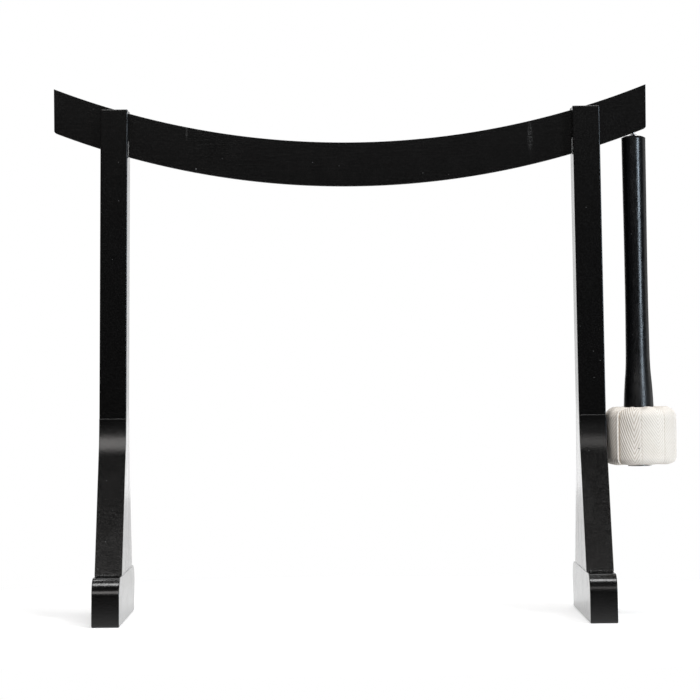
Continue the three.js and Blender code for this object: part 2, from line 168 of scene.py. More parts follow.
def tree_of(*values):
    return next(value.id_data for value in values if isinstance(value, bpy.types.NodeSocket))


def calculate(operation, *values):
    return add_node(tree_of(*values), "Math", dict(enumerate(values)), operation=operation)[0]


def combine(operation, *vectors):
    return add_node(tree_of(*vectors), "VectorMath", dict(enumerate(vectors)), operation=operation)


def component(vector, axis):
    return add_node(tree_of(vector), "SeparateXYZ", {0: vector})[axis]


def remap(value, span, result=(0.0, 1.0)):
    labels = ("Value", "From Min", "From Max", "To Min", "To Max")
    return add_node(tree_of(value), "MapRange", dict(zip(labels, (value, *span, *result))))[0]


print("node helpers ready")

# %% [markdown]
# ## Noise and colour
#
# Blender's noise stays near one half and seldom leaves 0.3 to 0.7, so every mask made from it names the
# span that is stretched to the full range. Noise is asked for by the size of its blobs in metres, which is
# easier to picture than a scale.

# %% Noise and colour helpers
WHOLE_NOISE = (0.3, 0.7)
MIDDLE_NOISE = (0.35, 0.65)
RAISED_NOISE = (0.4, 0.7)
PATCHES = (0.45, 0.75)


def noise(place, size, detail):
    scale = calculate("DIVIDE", 1.0, size) if isinstance(size, bpy.types.NodeSocket) else 1 / size
    return add_node(tree_of(place), "TexNoise", {"Vector": place, "Scale": scale, "Detail": detail})[0]


def mix_colours(share, first, second):
    tree = tree_of(share)
    mix = tree.nodes.new("ShaderNodeMix")
    mix.data_type = "RGBA"
    by_name = {socket.identifier: socket for socket in mix.inputs}
    for identifier, value in {"Factor_Float": share, "A_Color": first, "B_Color": second}.items():
        plug(tree, by_name[identifier], value)
    return mix.outputs["Result"]


def tint(under, mask, strength, over):
    return mix_colours(calculate("MULTIPLY", mask, strength), under, over)


def add_share(value, mask, amount):
    return calculate("ADD", value, calculate("MULTIPLY", mask, amount))


print("colour helpers ready")

# %% [markdown]
# ## Node groups
#
# An effect that several finishes share becomes a node group with named inputs and outputs. Ours all take
# the place on the surface as a vector and put out plain numbers.

# %% Group helpers
def open_group(name, inputs, outputs):
    group = bpy.data.node_groups.new(name, "ShaderNodeTree")
    for label, value in {"Vector": (0, 0, 0), **inputs}.items():
        kind = "NodeSocketVector" if isinstance(value, tuple) else "NodeSocketFloat"
        group.interface.new_socket(label, in_out="INPUT", socket_type=kind).default_value = value
    for label in outputs:
        group.interface.new_socket(label, in_out="OUTPUT", socket_type="NodeSocketFloat")
    return group, group.nodes.new("NodeGroupInput").outputs, group.nodes.new("NodeGroupOutput").inputs


def close_group(group, give, **values):
    for label, value in values.items():
        plug(group, give[label], value)
    print("group:", group.name, list(values))
    return group


def place_group(tree, group, **values):
    node = tree.nodes.new("ShaderNodeGroup")
    node.node_tree = group
    return feed(tree, node, **values)


# %% [markdown]
# ## Effect 1: wood under lacquer
#
# Thin black lacquer hides the colour of the wood but not its surface. Long shallow grain lines telegraph
# through, and the film dries with a fine pebbled skin that only shows where a reflection breaks over it.
# The vector that goes in is already turned so that its Z runs along the grain.

# %% Group: wood under lacquer
tree, take, give = open_group(
    "Wood under lacquer",
    {"Grain Width": 0.8 * MM, "Grain Length": 30 * MM, "Skin Size": 1.3 * MM, "Skin Share": 0.5},
    ("Height", "Grain", "Skin"),
)
sides = take["Grain Width"], take["Grain Width"], take["Grain Length"]
cell = add_node(tree, "CombineXYZ", dict(enumerate(sides)))[0]
in_cells = combine("DIVIDE", take["Vector"], cell)["Vector"]
lines = noise(in_cells, 1.0, detail=3)
skin = noise(take["Vector"], take["Skin Size"], detail=2)
skin_part = calculate("MULTIPLY", skin, take["Skin Share"])
height = add_share(skin_part, lines, calculate("SUBTRACT", 1.0, take["Skin Share"]))
grain_group = close_group(tree, give, Height=height, Grain=lines, Skin=skin)

# %% [markdown]
# ## Effect 2: worn arrises
#
# Handling rubs lacquer off the corners first. The Bevel node answers how the surface would turn if its
# corners were rounded, so where that normal leaves the true one a corner is near. Noise breaks the mask up,
# because even wear looks like paint.

# %% Group: arris wear
FLAT_TO_CORNER = (0.995, 0.9)
BEVEL_SAMPLES = 4

tree, take, give = open_group(
    "Arris wear", {"Radius": 0.9 * MM, "Breakup Size": 6 * MM, "Amount": 0.5}, ("Mask",)
)
rounded = add_node(tree, "Bevel", {"Radius": take["Radius"]}, samples=BEVEL_SAMPLES)[0]
flat = add_node(tree, "NewGeometry")["Normal"]
corner = remap(combine("DOT_PRODUCT", rounded, flat)["Value"], FLAT_TO_CORNER)
breakup = noise(take["Vector"], take["Breakup Size"], detail=5)
broken = remap(breakup, (calculate("SUBTRACT", 1.0, take["Amount"]), 1.0))
wear_group = close_group(tree, give, Mask=calculate("MULTIPLY", corner, broken))

# %% [markdown]
# ## Effect 3: dust and smears
#
# Dust sits as tiny pale specks, and wiping leaves faint smears that change only how sharply the surface
# reflects. Voronoi cells make the specks, each cell's own random colour decides whether it holds one, and a
# soft noise makes the smears. A speck's radius is a share of its cell.

# %% Group: dust and smears
tree, take, give = open_group(
    "Dust and smears",
    {"Speck Spacing": 6 * MM, "Speck Radius": 0.07, "Speck Share": 0.4, "Smear Size": 20 * MM},
    ("Specks", "Smears"),
)
speck_scale = calculate("DIVIDE", 1.0, take["Speck Spacing"])
cells = add_node(tree, "TexVoronoi", {"Vector": take["Vector"], "Scale": speck_scale})
near = calculate("LESS_THAN", cells["Distance"], take["Speck Radius"])
drawn = add_node(tree, "SeparateColor", {0: cells["Color"]})[0]
held = calculate("LESS_THAN", drawn, take["Speck Share"])
smears = remap(noise(take["Vector"], take["Smear Size"], detail=6), PATCHES)
specks = calculate("MULTIPLY", near, held)
dust_group = close_group(tree, give, Specks=specks, Smears=smears)

# %% [markdown]
# ## Effect 4: a rub mark
#
# The crossbar has two upright scuffs where gong cords were hung, and a chip by its lower edge. Each is one
# place, so the mask is the distance from a centre, measured in the mark's own size, and noise frays it
# unless the mark is solid.

# %% Group: rub mark
FRAYED = (0.42, 0.68)
RIM_TO_HEART = (1.0, 0.35)

tree, take, give = open_group(
    "Rub mark",
    {"Centre": (0, 0, 0), "Size": (2 * MM, 10 * MM, 10 * MM), "Fray Size": 1.2 * MM, "Solid": 0.0},
    ("Mask",),
)
offset = combine("SUBTRACT", take["Vector"], take["Centre"])["Vector"]
in_sizes = combine("DIVIDE", offset, take["Size"])["Vector"]
inside = remap(combine("LENGTH", in_sizes)["Value"], RIM_TO_HEART)
fray = remap(noise(take["Vector"], take["Fray Size"], detail=3), FRAYED)
frayed = calculate("MAXIMUM", fray, take["Solid"])
rub_group = close_group(tree, give, Mask=calculate("MULTIPLY", inside, frayed))

# %% [markdown]
# ## The black lacquer
#
# The finish is a satin black: hardly any light comes back from inside the film, so what the eye reads is
# its reflections. The base is very dark and a trace greyer where the skin stands up, the roughness varies
# with the skin and the smears, and the relief is shallow. The grain runs a different way in each kind of
# board, so a function builds the material for a given grain direction.
#
# Two things are extra. Lacquer has pooled in the crease above each foot and dried in small beads, and faces
# that look down can be duller, because the photograph shows no floor mirrored in the crossbar's sawn
# underside.

# %% Build the lacquer
FILM_BLACK = (0.0016, 0.0015, 0.0015, 1)
FILM_GREY = (0.0055, 0.0053, 0.0051, 1)
WORN_BROWN = (0.05, 0.042, 0.034, 1)
DUST_GREY = (0.16, 0.16, 0.16, 1)
SCUFF_GREY = (0.10, 0.10, 0.098, 1)
LACQUER_ROUGH = (0.16, 0.19)
SKIN_ROUGH = (-0.03, 0.03)
SCUFF_ROUGH = 0.2
SKIN_RELIEF = 0.1 * MM
SKIN_SHARE = 0.6
WEAR_SHOWS = 0.8
DUST_SHOWS = 0.5
BEAD_SIZE = 1.25 * MM
BEADED = (0.5, 0.62)
POOL_FADE = 1 * MM
POOL_SHOWS = 0.45
POOL_ROUGH = 0.25
LEVEL_TO_DOWNWARD = (-0.1, -0.6)
PLAIN_TO_DULL_SPECULAR = (0.5, 0.06)
GRAIN_TURNS = {"up": (0, 0, 0), "along": (0, QUARTER_TURN, 0), "through": (QUARTER_TURN, 0, 0)}


def start_material(name):
    material = bpy.data.materials.new(name)
    material.use_nodes = True
    tree = material.node_tree
    return material, tree, add_node(tree, "TexCoord")["Object"]


def finish_material(tree, height, relief, strength=1.0, **values):
    bump = add_node(tree, "Bump", {"Height": height, "Strength": strength, "Distance": relief})
    feed(tree, tree.nodes["Principled BSDF"], Normal=bump[0], **values)


def make_lacquer(name, grain, marks=(), pool_top=0.0, dull_below=0.0):
    material, tree, place = start_material(name)
    turned = add_node(tree, "Mapping", {"Vector": place, "Rotation": GRAIN_TURNS[grain]})[0]
    wood = place_group(tree, grain_group, Vector=turned, Skin_Share=SKIN_SHARE)
    wear = place_group(tree, wear_group, Vector=place)
    dust = place_group(tree, dust_group, Vector=place, Speck_Share=0.12)
    colour = mix_colours(remap(wood["Skin"], PATCHES), FILM_BLACK, FILM_GREY)
    colour = tint(colour, wear["Mask"], WEAR_SHOWS, WORN_BROWN)
    colour = tint(colour, dust["Specks"], DUST_SHOWS, DUST_GREY)
    rough = remap(dust["Smears"], (0, 1), LACQUER_ROUGH)
    rough = calculate("ADD", rough, remap(wood["Skin"], MIDDLE_NOISE, SKIN_ROUGH))
    for centre, size, solid, strength in marks:
        mask = place_group(tree, rub_group, Vector=place, Centre=centre, Size=size, Solid=solid)["Mask"]
        mask = calculate("MULTIPLY", mask, strength)
        colour = mix_colours(mask, colour, SCUFF_GREY)
        rough = add_share(rough, mask, SCUFF_ROUGH)
    if pool_top:
        low_down = remap(component(place, "Z"), (pool_top, pool_top - POOL_FADE))
        beads = remap(noise(place, BEAD_SIZE, detail=2), BEADED)
        pooled = calculate("MULTIPLY", low_down, beads)
        colour = tint(colour, pooled, POOL_SHOWS, SCUFF_GREY)
        rough = add_share(rough, pooled, POOL_ROUGH)
    extra = {}
    if dull_below:
        upward = component(add_node(tree, "NewGeometry")["Normal"], "Z")
        rough = calculate("ADD", rough, remap(upward, LEVEL_TO_DOWNWARD, (0, dull_below)))
        extra["Specular_IOR_Level"] = remap(upward, LEVEL_TO_DOWNWARD, PLAIN_TO_DULL_SPECULAR)
    finish_material(tree, wood["Height"], SKIN_RELIEF, Base_Color=colour, Roughness=rough, **extra)
    return material


print("grain runs", list(GRAIN_TURNS))

# %% [markdown]
# ## Marks on the lacquer
#
# Each row is one mark: its centre and half sizes in metres, how solid it is and how strongly it shows. On
# the crossbar these are the rubs of two gong cords and a chip, and on the right leg's front flare a faint
# smudge.

# %% Lacquer for each kind of board
BAR_FRONT = -5 * MM
BAR_MARKS = (
    ((-0.1648, BAR_FRONT, 0.4534), (0.0013, 0.004, 0.011), 0.0, 0.55),
    ((0.1542, BAR_FRONT, 0.4450), (0.0030, 0.004, 0.017), 0.0, 0.5),
    ((-0.1563, BAR_FRONT, 0.4171), (0.0009, 0.004, 0.0012), 1.0, 1.0),
)
FLARE_MARKS = (
    ((0.2020, -0.041, 0.1110), (0.0070, 0.014, 0.022), 0.35, 0.07),
    ((0.1995, -0.037, 0.1230), (0.0022, 0.010, 0.008), 0.2, 0.12),
)
POOL_TOP = 46.2 * MM
UNDERSIDE_DULL = 0.45

lacquer_up = make_lacquer("black lacquer, grain up", "up", FLARE_MARKS, POOL_TOP)
lacquer_foot = make_lacquer("black lacquer, grain front to back", "through")
lacquer_bar = make_lacquer("black lacquer, crossbar", "along", BAR_MARKS, dull_below=UNDERSIDE_DULL)
print("lacquers:", [material.name for material in (lacquer_up, lacquer_foot, lacquer_bar)])

# %% [markdown]
# ## Helpers for pieces
#
# Every piece stands for one CAD node: it rides on the same body, hides that node and takes the finish it
# is given. One helper does the three together, so none can be forgotten.

# %% Settle a piece in its node's place
SMOOTH_ANGLE = 40


def link_mesh(name, vertices, faces):
    mesh = bpy.data.meshes.new(name)
    mesh.from_pydata(vertices, [], faces)
    mesh.update()
    return add_object(name, mesh)


def settle(piece, node, material):
    piece.data.materials.clear()
    piece.data.materials.append(material)
    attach(piece, frame["nodes"][node]["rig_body"])
    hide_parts(node)
    size = [round(value / MM, 1) for value in piece.dimensions]
    print(piece.name, size, "mm,", len(piece.data.polygons), "faces")


def shape_with(piece, kind, **options):
    set_options(piece.modifiers.new(kind, kind), options)
    bpy.context.view_layer.update()
    evaluated = piece.evaluated_get(bpy.context.evaluated_depsgraph_get())
    finished = bpy.data.meshes.new_from_object(evaluated)
    piece.modifiers.clear()
    piece.data = finished
    return piece


def face_outward(piece):
    shell = bmesh.new()
    shell.from_mesh(piece.data)
    bmesh.ops.recalc_face_normals(shell, faces=shell.faces)
    shell.to_mesh(piece.data)
    shell.free()
    return piece


def smooth_by_angle(piece, degrees=SMOOTH_ANGLE):
    piece.data.shade_smooth()
    piece.data.set_sharp_from_angle(angle=math.radians(degrees))
    return piece


print("nodes to dress:", len(frame["nodes"]))

# %% [markdown]
# ## Boards
#
# Posts, feet, flares and the crossbar are flat boards sawn to an outline, with their arrises rounded by a
# Bevel modifier. Its hardened normals keep the broad faces optically flat, which matters on gloss black,
# where any shading error shows as a bent reflection.

# %% Saw a board from an outline
ARRIS = 0.8 * MM
ARRIS_STEPS = 3
SHARP = math.radians(24)


def arc_points(centre, radius, start, stop, steps):
    angles = np.linspace(start, stop, steps + 1)
    return [(centre[0] + radius * math.cos(a), centre[1] + radius * math.sin(a)) for a in angles]


def saw_board(name, outline, thickness, place, arris=ARRIS):
    count = len(outline)
    vertices = [place(u, v, side * thickness / 2) for side in (-1, 1) for u, v in outline]
    faces = [tuple(range(count)), tuple(reversed(range(count, 2 * count)))]
    faces += [(i, i + count, (i + 1) % count + count, (i + 1) % count) for i in range(count)]
    piece = face_outward(link_mesh(name, vertices, faces))
    piece.data.shade_smooth()
    rounding = {"width": arris, "segments": ARRIS_STEPS, "harden_normals": True}
    return shape_with(piece, "BEVEL", limit_method="ANGLE", angle_limit=SHARP, **rounding)


print("arris", ARRIS / MM, "mm")

# %% [markdown]
# ## The crossbar
#
# One thin board is cut to a shallow arc and notched from below so that it drops over both legs. We walk
# along the lower arc, step up into each notch, whose walls lean like the legs, and come back along the
# upper arc.

# %% Saw the crossbar
MID_SPAN = -12.849 * MM
FLOOR_SPACING = 447.8 * MM
LEAN = math.tan(math.radians(0.7))
LEG_WIDTH = 25 * MM
BAR_RADIUS = 755 * MM
BAR_HEIGHT = 40.5 * MM
BAR_THICKNESS = 10 * MM
BAR_CORNER = 1 * MM
BAR_ARRIS = 0.4 * MM
NOTCH_ROOF = 444.3 * MM
CLEARANCE = 0.3 * MM
BAR_STEPS = 160

bar_low, bar_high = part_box("crossbar")
bar_half = (bar_high.x - bar_low.x) / 2
arc_centre = bar_low.z + BAR_RADIUS


def leg_centre(height):
    return FLOOR_SPACING / 2 - LEAN * height


def bar_underside(x):
    return arc_centre - math.sqrt(BAR_RADIUS**2 - x**2)


def mirrored(half):
    return half + [(-across, up) for across, up in reversed(half)]


def right_half_arc(end, rise=0.0):
    return [(x, bar_underside(x) + rise) for x in np.linspace(-end, end, BAR_STEPS) if x > 0]


def wall_foot(wall):
    x = wall + LEAN * (NOTCH_ROOF - bar_underside(wall))
    return x, bar_underside(x)


def bar_outline():
    inner, outer = (leg_centre(NOTCH_ROOF) + side * (LEG_WIDTH / 2 + CLEARANCE) for side in (-1, 1))
    notch = [wall_foot(inner), (inner, NOTCH_ROOF), (outer, NOTCH_ROOF), wall_foot(outer)]
    low_arc = right_half_arc(bar_half - BAR_CORNER)
    before = [point for point in low_arc if point[0] < notch[0][0] - CLEARANCE]
    after = [point for point in low_arc if point[0] > notch[-1][0] + CLEARANCE]
    corner = (bar_half, bar_underside(bar_half) + BAR_CORNER)
    return mirrored([*before, *notch, *after, corner, *reversed(right_half_arc(bar_half, BAR_HEIGHT))])


def place_bar(u, v, w):
    return (u + MID_SPAN, w, v)


crossbar = saw_board("crossbar_lacquered", bar_outline(), BAR_THICKNESS, place_bar, BAR_ARRIS)
settle(crossbar, "crossbar", lacquer_bar)

# %% [markdown]
# ## The legs
#
# Each leg is a post with an open fork, a long foot with rounded noses, and two flares that sweep down to
# the foot. The lean of less than a degree is a shear and no rotation, so the soles and the fork's top stay
# level. Lacquer closes the joints between the boards, so they meet here where the CAD solids keep a small
# clearance.

# %% Outlines of the leg's boards
LEG_HEIGHT = 472 * MM
FORK_FLOOR = 444 * MM
POST_DEPTH = 36 * MM
FOOT_LENGTH = 203 * MM
FOOT_HEIGHT = 44 * MM
NOSE_RADIUS = 17 * MM
SOLE_CHAMFER = 1.5 * MM
FLARE_TOP = 186 * MM
FLARE_TIP = 1.2 * MM
FLARE_REACH = 48 * MM
FLARE_RADIUS = 97 * MM
FLARE_ARRIS = 0.4 * MM
BRIDGED = 0.25 * MM
CURVE_STEPS = 40
FORK_HALF = BAR_THICKNESS / 2 + CLEARANCE


def post_outline():
    half, bottom = POST_DEPTH / 2, FOOT_HEIGHT + CLEARANCE - BRIDGED
    return mirrored([(half, bottom), (half, LEG_HEIGHT), (FORK_HALF, LEG_HEIGHT), (FORK_HALF, FORK_FLOOR)])


def foot_outline():
    half = FOOT_LENGTH / 2
    nose_centre = (half - NOSE_RADIUS, FOOT_HEIGHT - NOSE_RADIUS)
    nose = arc_points(nose_centre, NOSE_RADIUS, 0, QUARTER_TURN, CURVE_STEPS)
    return mirrored([(half - SOLE_CHAMFER, 0), (half, SOLE_CHAMFER), *nose])


def flare_outline(end):
    face, bottom = POST_DEPTH / 2 + CLEARANCE, FOOT_HEIGHT + CLEARANCE
    centre_y, toe_y = face + FLARE_TIP + FLARE_RADIUS, face + FLARE_REACH
    across, rise = centre_y - toe_y, FLARE_TOP - bottom
    slope = math.atan2(rise, across) - math.acos(FLARE_RADIUS / math.hypot(across, rise))
    curve = arc_points((centre_y, FLARE_TOP), FLARE_RADIUS, math.pi + slope, math.pi, CURVE_STEPS)
    base = bottom - BRIDGED
    points = [(face - BRIDGED, base), (toe_y, base), *curve, (face - BRIDGED, FLARE_TOP)]
    return [(end * y, z) for y, z in points]


print("outlines ready")

# %% [markdown]
# Both legs are sawn in one loop, since they differ only in the side they lean to.

# %% Saw the boards of both legs
def saw_for_leg(side):
    def place(u, v, w):
        return (MID_SPAN + side * leg_centre(v) + w, u, v)
    return place


LEGS = (("left", -1), ("right", 1))
ENDS = (("front", -1), ("back", 1))

for name, side in LEGS:
    place = saw_for_leg(side)
    post = saw_board(f"{name}_post_lacquered", post_outline(), LEG_WIDTH, place)
    settle(post, f"{name}_post", lacquer_up)
    foot = saw_board(f"{name}_foot_lacquered", foot_outline(), LEG_WIDTH, place)
    settle(foot, f"{name}_foot", lacquer_foot)
    for where, end in ENDS:
        node = f"{name}_{where}_flare"
        flare = saw_board(f"{node}_lacquered", flare_outline(end), LEG_WIDTH, place, FLARE_ARRIS)
        settle(flare, node, lacquer_up)

# %% [markdown]
# ## Turned and bent pieces
#
# The handle and the screws are turned, and the hook and the eye are bent from wire. Both kinds are rings of
# points strung along a path and closed at the ends. A thread is a radius that swells once per turn and
# moves on with the height, and a pointed shank is a radius that grows from its tip.

# %% String rings along a path
HANDLE_SIDES = 96
THREAD_DEPTH = 0.28 * MM
CREST_SHARE = 0.25


def close_rings(name, rings):
    count = len(rings[0])
    vertices = [tuple(point) for ring in rings for point in ring]
    faces = []
    for row in range(len(rings) - 1):
        for i in range(count):
            j = (i + 1) % count
            faces.append((row * count + i, row * count + j, (row + 1) * count + j, (row + 1) * count + i))
    faces.append(tuple(reversed(range(count))))
    faces.append(tuple(range((len(rings) - 1) * count, len(rings) * count)))
    return face_outward(link_mesh(name, vertices, faces))


def turn(name, outline, sides=HANDLE_SIDES, threads=None):
    rings = []
    for radius, height in outline:
        ring = []
        for i in range(sides):
            angle = FULL_TURN * i / sides
            reach = radius + (threads(height, angle) if threads else 0)
            ring.append((reach * math.cos(angle), reach * math.sin(angle), height))
        rings.append(ring)
    return close_rings(name, rings)


def thread_swell(height, angle, pitch):
    place_in_turn = (height / pitch + angle / FULL_TURN) % 1
    return THREAD_DEPTH * max(0.0, 1 - abs(place_in_turn - 0.5) / CREST_SHARE)


def pointed(core, heights, end, tip, taper):
    return [min(core, tip + abs(height - end) * taper) for height in heights]


print("thread depth", THREAD_DEPTH / MM, "mm")

# %% [markdown]
# ## The mallet's own axis
#
# The mallet leans on the leg, so it isn't upright. The joint's pivot and the washer under the head give its
# axis. We draw it hanging straight down from the origin and turn it into place afterwards, which keeps
# every radius and height readable.

# %% Find the mallet's axis
swing = next(joint for joint in frame["joints"] if joint["name"] == "mallet_swing")
pivot = Vector(swing["pos_m"])
washer_low, washer_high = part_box("mallet_washer")
hang = (washer_low + washer_high) / 2 - pivot
mallet_lean = math.atan2(hang.x, -hang.z)
MALLET_TURN = Matrix.Translation(pivot) @ Matrix.Rotation(-mallet_lean, 4, "Y")
print("pivot", [round(value / MM, 2) for value in pivot], "lean", round(math.degrees(mallet_lean), 3))


def hang_up(piece):
    piece.data.transform(MALLET_TURN)
    return piece


# %% [markdown]
# ## The handle's finish
#
# The handle is brushed on over turned wood, so its highlight breaks into fine upright streaks and specks.
# The wood group serves again, with shorter and stronger grain that works on the roughness as well. The
# handle is duller towards the head, and the end grain at its top, which soaks the lacquer up, hardly
# shines.

# %% Build the handle's finish
HANDLE_BLACK = (0.0010, 0.0011, 0.0014, 1)
HANDLE_GREY = (0.0035, 0.0038, 0.0048, 1)
HANDLE_GRAIN = {"Grain_Width": 0.6 * MM, "Grain_Length": 8 * MM, "Skin_Size": 0.9 * MM, "Skin_Share": 0.45}
HANDLE_ROUGH = (0.17, 0.3)
HANDLE_RELIEF = 0.11 * MM
HANDLE_WEAR_SHOWS = 0.6
HANDLE_DUST_SHOWS = 0.4
SMEAR_ROUGH = 0.06
NECK_LOW = pivot.z - 240 * MM
NECK_FADE = 100 * MM
NECK_ROUGH = 0.08
END_GRAIN_FROM = pivot.z - 1.8 * MM
END_GRAIN_FADE = 0.3 * MM
END_GRAIN_ROUGH = 0.5
PLAIN_TO_END_SPECULAR = (0.5, 0.12)


def make_handle_finish():
    material, tree, place = start_material("brushed black on a turned handle")
    wood = place_group(tree, grain_group, Vector=place, **HANDLE_GRAIN)
    wear = place_group(tree, wear_group, Vector=place, Amount=0.4)
    dust = place_group(tree, dust_group, Vector=place, Speck_Share=0.2, Smear_Size=12 * MM)
    colour = mix_colours(remap(wood["Grain"], RAISED_NOISE), HANDLE_BLACK, HANDLE_GREY)
    colour = tint(colour, wear["Mask"], HANDLE_WEAR_SHOWS, WORN_BROWN)
    colour = tint(colour, dust["Specks"], HANDLE_DUST_SHOWS, DUST_GREY)
    height = component(place, "Z")
    end_grain = remap(height, (END_GRAIN_FROM, END_GRAIN_FROM + END_GRAIN_FADE))
    neck = remap(height, (NECK_LOW + NECK_FADE, NECK_LOW))
    rough = remap(wood["Grain"], WHOLE_NOISE, HANDLE_ROUGH)
    for mask, amount in ((dust["Smears"], SMEAR_ROUGH), (neck, NECK_ROUGH), (end_grain, END_GRAIN_ROUGH)):
        rough = add_share(rough, mask, amount)
    specular = remap(end_grain, (0, 1), PLAIN_TO_END_SPECULAR)
    finish_material(
        tree, wood["Height"], HANDLE_RELIEF, Base_Color=colour, Roughness=rough, Specular_IOR_Level=specular
    )
    return material


handle_black = make_handle_finish()
print("finish:", handle_black.name)

# %% [markdown]
# ## The handle
#
# A turned handle is a half outline spun round its axis. It follows a smooth curve through measured radii,
# each given at its height over the shoulder in millimetres. A thinner spigot runs on through the head, and
# the top is a shallow dome with a hole for the eye.

# %% Measures of the mallet
HANDLE_LENGTH = 253.2 * MM
HANDLE_TOP = 0.6 * MM
HANDLE_DOME = 2 * MM
HOLE_CHAMFER = 0.2 * MM
SHOULDER = HANDLE_TOP - HANDLE_LENGTH
HANDLE_RADII = [
    (0, 13.9), (12, 13.4), (24, 12.6), (34, 11.75), (45, 11.25),
    (63, 11.0), (100, 10.7), (150, 10.7), (200, 10.95), (251.2, 11.15),
]
EYE_WIRE = 1.8 * MM
EYE_RADIUS = 3.4 * MM
EYE_CENTRE = -1.4 * MM
EYE_HOLE = EYE_RADIUS + EYE_WIRE / 2 + 1.2 * MM
EYE_HOLE_FLOOR = EYE_CENTRE - EYE_RADIUS - EYE_WIRE / 2 - CLEARANCE
SPIGOT_RADIUS = 7 * MM
SPIGOT_BORE = 0.5 * MM
COVER_SWELL = 1.6 * MM
HEAD_HEIGHT = 53.8 * MM
HEAD_TOP = SHOULDER + COVER_SWELL
HEAD_BOTTOM = HEAD_TOP - HEAD_HEIGHT
CLAMP_BOTTOM = HEAD_BOTTOM + 0.3 * MM
WASHER_TOP = CLAMP_BOTTOM - CLEARANCE
SPIGOT_END = WASHER_TOP + CLEARANCE
print("head from", round(HEAD_TOP / MM, 1), "to", round(HEAD_BOTTOM / MM, 1), "mm")

# %% [markdown]
# The outline runs up the spigot and the side, over the dome and down into the eye's hole.

# %% Turn the handle
SIDE_STEPS = 14
DOME_SHARES = np.linspace(0.97, 0.05, 8)


def smooth_curve(points, steps):
    points = np.array(points, float)
    padded = np.vstack([2 * points[0] - points[1], points, 2 * points[-1] - points[-2]])
    t = np.linspace(0, 1, steps, endpoint=False)[:, None]
    curve = [
        0.5 * (2 * b + (c - a) * t + (2 * a - 5 * b + 4 * c - d) * t**2 + (3 * b - a - 3 * c + d) * t**3)
        for a, b, c, d in zip(padded, padded[1:], padded[2:], padded[3:])
    ]
    return [tuple(point) for point in np.vstack([*curve, points[-1]])]


measured = [(radius * MM, SHOULDER + height * MM) for height, radius in HANDLE_RADII]
side_curve = smooth_curve(measured, SIDE_STEPS)
dome_width = measured[-1][0] - EYE_HOLE
dome = [(EYE_HOLE + share * dome_width, HANDLE_TOP - HANDLE_DOME * share**2) for share in DOME_SHARES]
rim = [*dome, (EYE_HOLE, HANDLE_TOP - HOLE_CHAMFER), (EYE_HOLE, EYE_HOLE_FLOOR), (EYE_WIRE, EYE_HOLE_FLOOR)]
spigot = [(SPIGOT_BORE, SPIGOT_END), (SPIGOT_RADIUS, SPIGOT_END), (SPIGOT_RADIUS, SHOULDER)]
handle = hang_up(turn("mallet_handle_turned", spigot + side_curve + rim))
settle(smooth_by_angle(handle), "mallet_handle", handle_black)

# %% [markdown]
# ## Bright steel
#
# Plating that has been handled is not a mirror: it has fine scratches and a faint tarnish in patches. One
# group serves the bright and the zinc plating, each with its own colour and roughness.

# %% Group: handled metal, and the two platings
SCRATCH_RELIEF = 0.01 * MM

tree, take, give = open_group(
    "Handled metal", {"Scratch Size": 0.3 * MM, "Tarnish Size": 3 * MM}, ("Scratch", "Tarnish")
)
scratch = noise(take["Vector"], take["Scratch Size"], detail=4)
tarnish = remap(noise(take["Vector"], take["Tarnish Size"], detail=5), RAISED_NOISE)
metal_group = close_group(tree, give, Scratch=scratch, Tarnish=tarnish)


def make_steel(name, clean, dull, rough_span):
    material, tree, place = start_material(name)
    metal = place_group(tree, metal_group, Vector=place)
    colour = mix_colours(metal["Tarnish"], clean, dull)
    rough = remap(metal["Scratch"], WHOLE_NOISE, rough_span)
    finish_material(tree, metal["Scratch"], SCRATCH_RELIEF, Base_Color=colour, Roughness=rough, Metallic=1.0)
    return material


bright_steel = make_steel("bright plated steel", (0.62, 0.64, 0.68, 1), (0.22, 0.22, 0.23, 1), (0.1, 0.22))
zinc_steel = make_steel("zinc plated steel", (0.5, 0.5, 0.49, 1), (0.3, 0.3, 0.29, 1), (0.18, 0.3))
print("finishes:", bright_steel.name, "and", zinc_steel.name)

# %% [markdown]
# ## The hook and the eye
#
# A cup hook and a screw eye are each one length of wire, with a thread rolled on one end and the other end
# bent. The hook bends forward, so that its lowest part runs front to back, and the eye's ring faces the
# front and hangs on it. That is why the mallet swings sideways so freely: the ring simply turns round the
# wire.

# %% Sweep a wire
WIRE_SIDES = 24
WIRE_ANGLE = 60
THREAD_PITCH = 1.1 * MM
THREAD_ROW = 0.14 * MM
THREAD_LEAD = 8


def sweep(name, path, radii, swell):
    path = [Vector(point) for point in path]
    rings = []
    side = Vector((1, 0, 0))
    for i, point in enumerate(path):
        along = (path[min(i + 1, len(path) - 1)] - path[max(i - 1, 0)]).normalized()
        side = (side - along * side.dot(along)).normalized()
        third = along.cross(side)
        ring = []
        for k in range(WIRE_SIDES):
            angle = FULL_TURN * k / WIRE_SIDES
            outward = side * math.cos(angle) + third * math.sin(angle)
            ring.append(point + outward * (radii[i] + swell(i, angle)))
        rings.append(ring)
    return close_rings(name, rings)


def rolled_thread(heights, tail):
    def swell(row, angle):
        threaded = THREAD_LEAD <= row < len(heights) - tail
        return thread_swell(heights[row], angle, THREAD_PITCH) if threaded else 0
    return swell


print("wire of", WIRE_SIDES, "sides")

# %% [markdown]
# The hook's shank stands in the middle of the crossbar's underside, and its tip is rounded by three
# shrinking rings.

